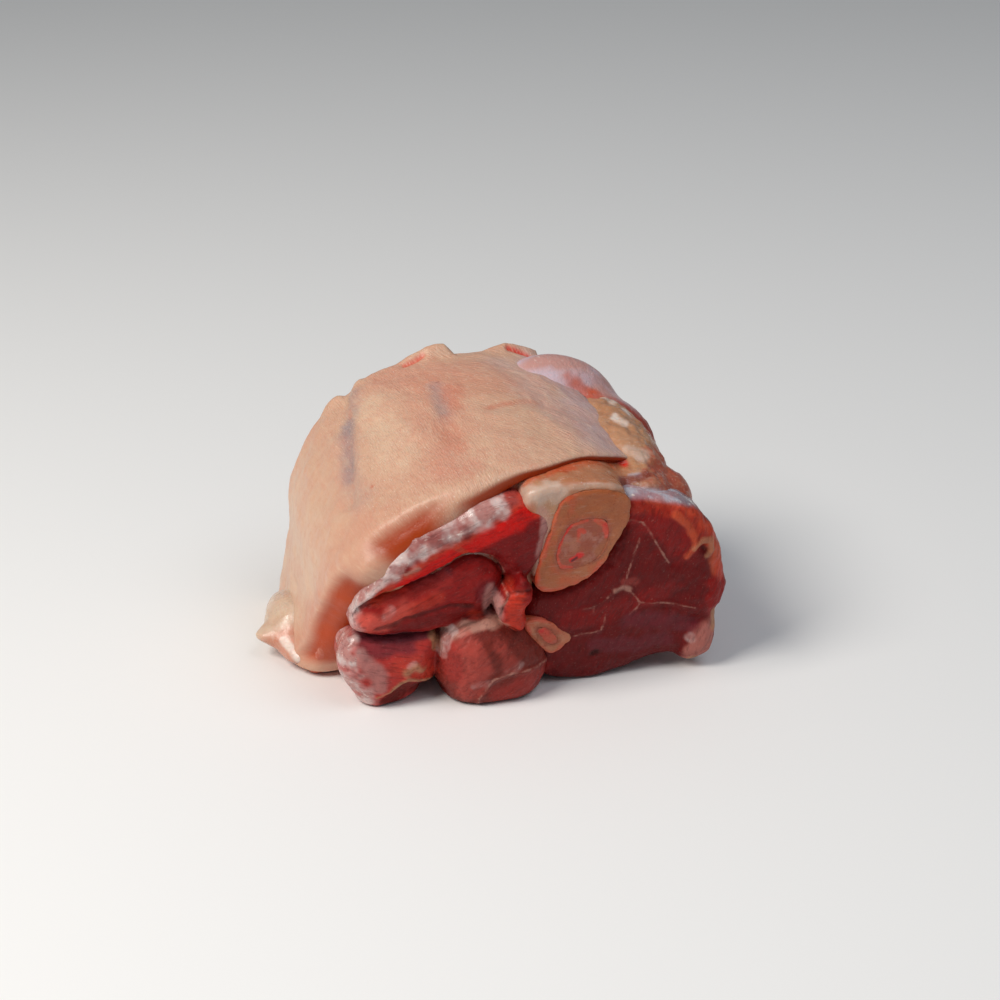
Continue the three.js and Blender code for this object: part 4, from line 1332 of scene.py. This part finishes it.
# Strokes on the skin: colour, half width, strength, and path as share of the width and y.
RIND_STROKES = [
    ("skin_pink", 9.0, 0.5, [(0.36, 28), (0.30, 20), (0.34, 4), (0.36, -14), (0.39, -30)]),
    ("skin_light", 6.0, 0.6, [(0.42, 22), (0.44, 8), (0.43, -4), (0.44, -14)]),
    ("skin_red", 8.0, 0.4, [(0.29, 20), (0.23, 10)]),
    # A lilac tint over the skin's right-hand part, partly the skin's own tone and partly a painted
    # sheen.
    ("skin_lilac_and_sheen", 9.0, 0.8, [(0.02, 28), (0.03, 10), (0.05, -6), (0.06, -20)]),
    ("skin_lilac_and_sheen", 8.0, 0.4, [(0.13, 24), (0.14, 6), (0.12, -14), (0.10, -26)]),
    ("skin_blue", 3.6, 0.5, [(0.425, 33), (0.45, 27), (0.485, 20)]),
    ("skin_blue", 3.0, 0.8, [(0.488, 21), (0.505, 15), (0.53, 7), (0.553, -4)]),
    ("skin_blue", 5.5, 0.3, [(0.51, 14), (0.54, 2), (0.56, -10), (0.55, -20)]),
    ("skin_red", 1.2, 0.5, [(0.462, 27), (0.468, 24)]),
    ("skin_blue", 2.8, 0.6, [(0.291, 15), (0.306, 8), (0.32, 0), (0.326, -4)]),
    ("skin_red", 3.0, 0.7, [(0.276, 12), (0.292, 5), (0.298, 1)]),
    ("skin_red", 3.8, 0.6, [(0.325, -5), (0.335, -12), (0.345, -20)]),
    ("skin_pink", 4.0, 0.7, [(0.36, -22), (0.385, -32), (0.35, -34)]),
    ("skin_red", 1.6, 0.7, [(0.25, -3.5), (0.215, -1.5)]),
    ("skin_red", 1.4, 0.45, [(0.20, -1.0), (0.165, -1.0)]),
    ("skin_pink", 7.0, 0.6, [(0.33, 32), (0.24, 27), (0.18, 16)]),
    ("under", 0.4, 0.8, [(0.283, 17)]),
    ("orange_brown", 0.8, 0.7, [(0.515, -19)]),
    ("slit_red", 0.9, 0.7, [(0.292, 35.8), (0.27, 36.2), (0.248, 37)]),
    ("slit_red", 1.0, 1.0, [(0.08, 36.9), (0.055, 36.3), (0.034, 35.2), (0.012, 33.6)]),
]


def rind_paint(points, sheet, shares, turn, depth):
    """The rind's colour and the masks that its material reads."""
    place = sheet[:, :2]
    wobble = noise(sheet, 3.0, 151) * 0.6
    colour = np.tile(linear("skin"), (len(points), 1))
    # Painted light: the skin made lighter over the left flank, the side that faces the key lamp.
    flank = smoothstep(0.55, 0.8, shares)
    colour = lerp(colour, linear("skin_light"), (0.5 * flank)[:, None])
    for name, width, strength, path in RIND_STROKES:
        path = [(a * RIND_WIDTH, b) for a, b in path]
        distance = path_distance(place, path) + 0.3 * wobble * width
        cover = strength * (1 - smoothstep(0.25 * width, 1.6 * width, distance))
        colour = lerp(colour, linear(name), cover[:, None])
    # Where the lip turns under, the rind's amber cut end is coloured, its own orange darkened as painted
    # shade.
    rolled = np.maximum(lip_hollow(shares, turn + 5 * noise(sheet, (9, 30, 9), 155)),
                        smoothstep(45, 75, turn) * (1 - smoothstep(0.36, 0.44, shares)))
    behind_lip = sheet[:, 1] - along(RIND_FRONT_Y, shares) - along(LIP_RADIUS, shares)
    low_lip = smoothstep(0.66, 0.8, shares) * np.exp(-(turn / 40) ** 2) * (
        1 - smoothstep(0, 9, behind_lip))
    colour = lerp(colour, linear("skin_red"), (0.4 * low_lip)[:, None])
    nearing = smoothstep(16, 3, behind_lip) * smoothstep(0.4, 0.55, shares)
    colour = lerp(colour, linear("skin_red"), (0.28 * nearing)[:, None])
    lip = lerp(linear("lip_orange_and_shade"), linear("lip_low_orange_and_shade"), smoothstep(0.68, 0.78, shares)[:, None])
    colour = lerp(colour, lip, rolled[:, None])
    under = smoothstep(0.5, 1.6, depth)
    colour = lerp(colour, linear("orange_brown"), under[:, None])
    # Painted highlight: the skin made lighter along the lip's crest.
    crest_highlight = np.exp(-((turn - 12) / 9) ** 2) * smoothstep(0.3, 0.5, shares) * (1 - rolled)
    colour = lerp(colour, linear("skin_light"), (0.12 * crest_highlight)[:, None])
    wrinkled = wrinkle_share(sheet) * (1 - rolled) * (1 - under)
    slant = 1 - smoothstep(0.2, 0.34, shares)
    return {"paint": colour, "grain": sheet, "wrinkled": wrinkled, "slant": slant,
            "rolled": np.maximum(rolled, under), "gloss": 0.4 * rolled}


# ---------------------------------------------------------------- bones

BONE_SPOKES = 150
BONE_EDGE = 0.5  # how far the outer edge of a sawn end is rounded off
HOLE_EDGE = 0.1
MARROW_SUNK = 0.05
MARROW_DISH = 0.1


def outline_from(centre, knots, count):
    """Points of a closed outline at evenly spaced directions from a centre inside it."""
    fine = curve(knots, 2400, True) - centre
    angle = np.arctan2(fine[:, 1], fine[:, 0])
    order = np.argsort(angle)
    angle = angle[order]
    reach = np.hypot(fine[:, 0], fine[:, 1])[order]
    want = np.linspace(-math.pi, math.pi, count, endpoint=False)
    r = np.interp(want, angle, reach, period=2 * math.pi)
    return np.stack([centre[0] + r * np.cos(want), centre[1] + r * np.sin(want)], axis=1)


def drifted(flat, y):
    """A point of a bone's front outline carried to y."""
    t = (y - FRONT_FOOT_Y) / (BACK_Y - FRONT_FOOT_Y)
    return np.stack([flat[:, 0] + BONE_DRIFT_X * t, y + 0 * t, flat[:, 1] + BONE_DRIFT_Z * t], -1)


def ring_faces(count, rings, closed):
    """Four-sided faces between rings of points, joined last to first if closed."""
    index = np.arange(count * rings).reshape(rings, count)
    ahead = np.roll(index, -1, axis=0) if closed else index[1:]
    index = index if closed else index[:-1]
    return np.stack([index, ahead, np.roll(ahead, -1, 1), np.roll(index, -1, 1)],
                    -1).reshape(-1, 4)


def sawn_edge(s):
    """How far a sawn end is rounded off at s, from 0 at the hole to 1 at the outer edge."""
    return BONE_EDGE * smoothstep(0.9, 1, s) + HOLE_EDGE * (1 - smoothstep(0, 0.06, s))


def bone_piece(name, outline, marrow, material, tint):
    """A bone with its marrow hole, as rings that run out over the front face, back along the
    outside, in over the back face and forward again inside the hole."""
    centre = curve(marrow, 60, True).mean(0)
    outer = outline_from(centre, outline, BONE_SPOKES)
    inner = outline_from(centre, marrow, BONE_SPOKES)
    rings = []
    across = np.concatenate([[0.0], np.linspace(0.04, 0.95, 16), [0.985, 1.0]])
    for s in across:
        flat = lerp(inner, outer, s)
        rings.append(drifted(flat, front_y(flat[:, 1]) - BONE_AHEAD + sawn_edge(s)))
    for t in np.linspace(0.03, 0.97, 12):
        y = lerp(front_y(outer[:, 1]) - BONE_AHEAD + BONE_EDGE, BACK_Y + BONE_AHEAD - BONE_EDGE, t)
        rings.append(drifted(outer, y))
    for s in across[::-1]:
        flat = lerp(inner, outer, s)
        rings.append(drifted(flat, BACK_Y + BONE_AHEAD - sawn_edge(s) + 0 * flat[:, 1]))
    for t in np.linspace(0.9, 0.1, 5):
        y = lerp(front_y(inner[:, 1]) - BONE_AHEAD, BACK_Y + BONE_AHEAD, t)
        rings.append(drifted(inner, y))
    points = np.stack(rings).reshape(-1, 3)
    faces = ring_faces(BONE_SPOKES, len(rings), True)
    if signed_volume(points, faces) < 0:
        faces = faces[:, ::-1]
    normals = vertex_normals(points, faces)
    points = points + normals * (0.22 * layered(points, 2.0, 161))[:, None]
    face = points[:, [0, 2]]
    colour = np.tile(linear(tint), (len(points), 1))
    rim = path_distance(face, np.vstack([outer, outer[:1]]))
    hole = path_distance(face, np.vstack([inner, inner[:1]]))
    wobble = noise(points, 2.0, 171)
    on_left = 1 - smoothstep(0.2, 0.7, (face - centre) @ (0.8, 0.35) / 8)
    pale = smoothstep(-0.2, 0.9, (face - centre) @ (0.06, -0.045) + 0.4 * noise(points, 6.0, 173))
    colour = lerp(colour, linear("bone_pale"), (0.55 * pale)[:, None])
    near_rim = 1 - smoothstep(0.2, 2.0, rim + 0.8 * wobble)
    colour = lerp(colour, linear("orange_red"), (0.75 * on_left * near_rim)[:, None])
    stain = on_left * smoothstep(-0.1, 0.6, layered(points, 3.5, 175))
    colour = lerp(colour, linear("orange_brown"), (0.6 * stain)[:, None])
    near_hole = 1 - smoothstep(0.3, 1.5, hole + 0.5 * wobble)
    colour = lerp(colour, linear("marrow"), (0.8 * near_hole)[:, None])
    return make_piece(name, points, faces, [name], material,
                      {"paint": colour, "grain": points})


def marrow_piece(name, marrow, material, marks):
    """Soft marrow that fills the hole, sunk a little below the bone at both ends."""
    centre = curve(marrow, 60, True).mean(0)
    edge = outline_from(centre, marrow, BONE_SPOKES)
    rings = []
    spread = np.sqrt(np.linspace(0.0004, 1, 22))
    for s in spread:
        flat = lerp(np.tile(centre, (BONE_SPOKES, 1)), edge, s)
        y = front_y(flat[:, 1]) - BONE_AHEAD + MARROW_SUNK + MARROW_DISH * s ** 4
        rings.append(drifted(flat, y))
    for t in np.linspace(0.1, 0.9, 5):
        y = lerp(front_y(edge[:, 1]) - BONE_AHEAD + 0.2, BACK_Y + BONE_AHEAD - 0.2, t)
        rings.append(drifted(edge, y))
    for s in spread[::-1]:
        flat = lerp(np.tile(centre, (BONE_SPOKES, 1)), edge, s)
        y = BACK_Y + BONE_AHEAD - MARROW_SUNK - MARROW_DISH * s ** 4 + 0 * flat[:, 1]
        rings.append(drifted(flat, y))
    points = np.stack(rings).reshape(-1, 3)
    faces = ring_faces(BONE_SPOKES, len(rings), False)
    last = len(points)
    points = np.vstack([points, points[:BONE_SPOKES].mean(0), points[-BONE_SPOKES:].mean(0)])
    around = np.arange(BONE_SPOKES)
    after = (around + 1) % BONE_SPOKES
    back_ring = last - BONE_SPOKES
    caps = [[last, int(i), int(j)] for i, j in zip(around, after)]
    caps += [[last + 1, int(back_ring + j), int(back_ring + i)] for i, j in zip(around, after)]
    if signed_volume(points, faces) < 0:
        faces = faces[:, ::-1]
        caps = [c[::-1] for c in caps]
    front = smoothstep(0.3, 0.8, -vertex_normals(points, faces)[:, 1])
    points[:, 1] += 0.15 * front * layered(points, 2.2, 181)
    colour = np.tile(linear("marrow"), (len(points), 1))
    wobble = noise(points, 1.4, 191) * 0.6
    pale = smoothstep(0.0, 0.7, layered(points, 3.0, 195))
    colour = lerp(colour, linear("fascia"), (0.35 * pale)[:, None])
    for tint, width, strength, path in marks:
        colour = brush(colour, tint, points[:, [0, 2]], path, width, strength, wobble)
    return make_piece(name, points, faces.tolist() + caps, [name], material,
                      {"paint": colour, "grain": points})


TIBIA_MARKS = [
    ("bone", 1.6, 0.6, [(17, 47), (18.5, 50)]),
    ("orange_red", 0.7, 0.8, [(3.4, 45.6), (3.6, 50.5), (4.9, 54.1), (6.8, 57.6), (11.6, 59.1)]),
    ("bright_red", 0.5, 0.8, [(3.6, 50.5), (4.9, 54.1), (7.2, 57.8)]),
    ("orange_red", 0.9, 0.9, [(15.2, 58.6), (17.9, 56.6), (18.3, 53)]),
    ("bright_red", 0.5, 0.8, [(16.4, 58.0), (17.9, 56.4)]),
    ("orange_red", 0.7, 0.8, [(3.4, 45.6), (5.2, 43.5), (8.2, 43)]),
    ("bright_red", 0.9, 1.0, [(8.0, 45.4), (10.9, 47.2)]),
    ("dark_grain_and_crease_shade", 0.45, 0.9, [(8.2, 45.2), (9.6, 46.2)]),
    ("orange_red", 0.6, 0.8, [(9.6, 52), (9.9, 56), (11.2, 55)]),
]
FIBULA_MARKS = [
    ("orange_red", 1.7, 0.9, [(0.4, 20.8), (3.6, 17.8)]),
    ("bright_red", 0.8, 0.7, [(0.2, 21)]),
]


# ---------------------------------------------------------------- floor, light and camera

CAMERA_AZIMUTH = -15.0
CAMERA_ELEVATION = 25.0
CAMERA_DISTANCE = 0.7
CAMERA_TARGET = Vector((7.75, 2.58, 46.5)) * MM
CAMERA_LENS = 81.3
FLOOR_HALF = 3.0


def direction(azimuth, elevation):
    """Unit vector towards a viewer: azimuth 0 is in front of the sawn face."""
    a = math.radians(azimuth)
    e = math.radians(elevation)
    return Vector((math.sin(a) * math.cos(e), -math.cos(a) * math.cos(e), math.sin(e)))


def add_camera():
    camera = bpy.data.objects.new("camera", bpy.data.cameras.new("camera"))
    bpy.context.scene.collection.objects.link(camera)
    back = direction(CAMERA_AZIMUTH, CAMERA_ELEVATION)
    camera.location = CAMERA_TARGET + CAMERA_DISTANCE * back
    camera.rotation_euler = back.to_track_quat("Z", "Y").to_euler()
    camera.data.lens = CAMERA_LENS
    bpy.context.scene.camera = camera


def add_light(name, azimuth, elevation, distance, size, power, colour):
    lamp = bpy.data.lights.new(name, "AREA")
    lamp.size = size
    lamp.energy = power
    lamp.color = colour
    light = bpy.data.objects.new(name, lamp)
    bpy.context.scene.collection.objects.link(light)
    back = direction(azimuth, elevation)
    light.location = CAMERA_TARGET + distance * back
    light.rotation_euler = back.to_track_quat("Z", "Y").to_euler()


def add_stage():
    mesh = bpy.data.meshes.new("floor")
    half = FLOOR_HALF
    mesh.from_pydata([(-half, -half, 0), (half, -half, 0), (half, half, 0), (-half, half, 0)], [],
                     [(0, 1, 2, 3)])
    paper = Nodes("floor")
    paper.set(Base_Color=(0.86, 0.86, 0.86, 1), Roughness=0.8)
    mesh.materials.append(paper.material)
    floor = bpy.data.objects.new("floor", mesh)
    bpy.context.scene.collection.objects.link(floor)
    world = bpy.data.worlds.new("studio")
    world.use_nodes = True
    world.node_tree.nodes["Background"].inputs["Color"].default_value = (0.9, 0.95, 1, 1)
    world.node_tree.nodes["Background"].inputs["Strength"].default_value = 0.2
    bpy.context.scene.world = world
    bpy.context.scene.view_settings.view_transform = "Standard"


# ---------------------------------------------------------------- assembly

add_camera()
add_stage()
add_light("key", azimuth=-70, elevation=47, distance=1.1, size=0.5, power=10.5,
          colour=(1, 0.95, 0.88))
add_light("fill", azimuth=45, elevation=60, distance=1.4, size=0.9, power=5,
          colour=(0.88, 0.93, 1))
LEAN_SKIN = lean_material()
FAT_SKIN = fat_material()
for lean_name, lean_group in LEAN_GROUPS.items():
    lean_piece(lean_name, lean_group)
for fat_name, fat_group in FAT_GROUPS.items():
    fat_piece(fat_name, **fat_group)
rind_piece()
bone = bone_material("bone")
marrow = bone_material("marrow")
bone_piece("tibia", TIBIA, TIBIA_MARROW, bone, "bone")
bone_piece("fibula", FIBULA, FIBULA_MARROW, bone, "bone_pale")
marrow_piece("tibia_marrow", TIBIA_MARROW, marrow, TIBIA_MARKS)
marrow_piece("fibula_marrow", FIBULA_MARROW, marrow, FIBULA_MARKS)
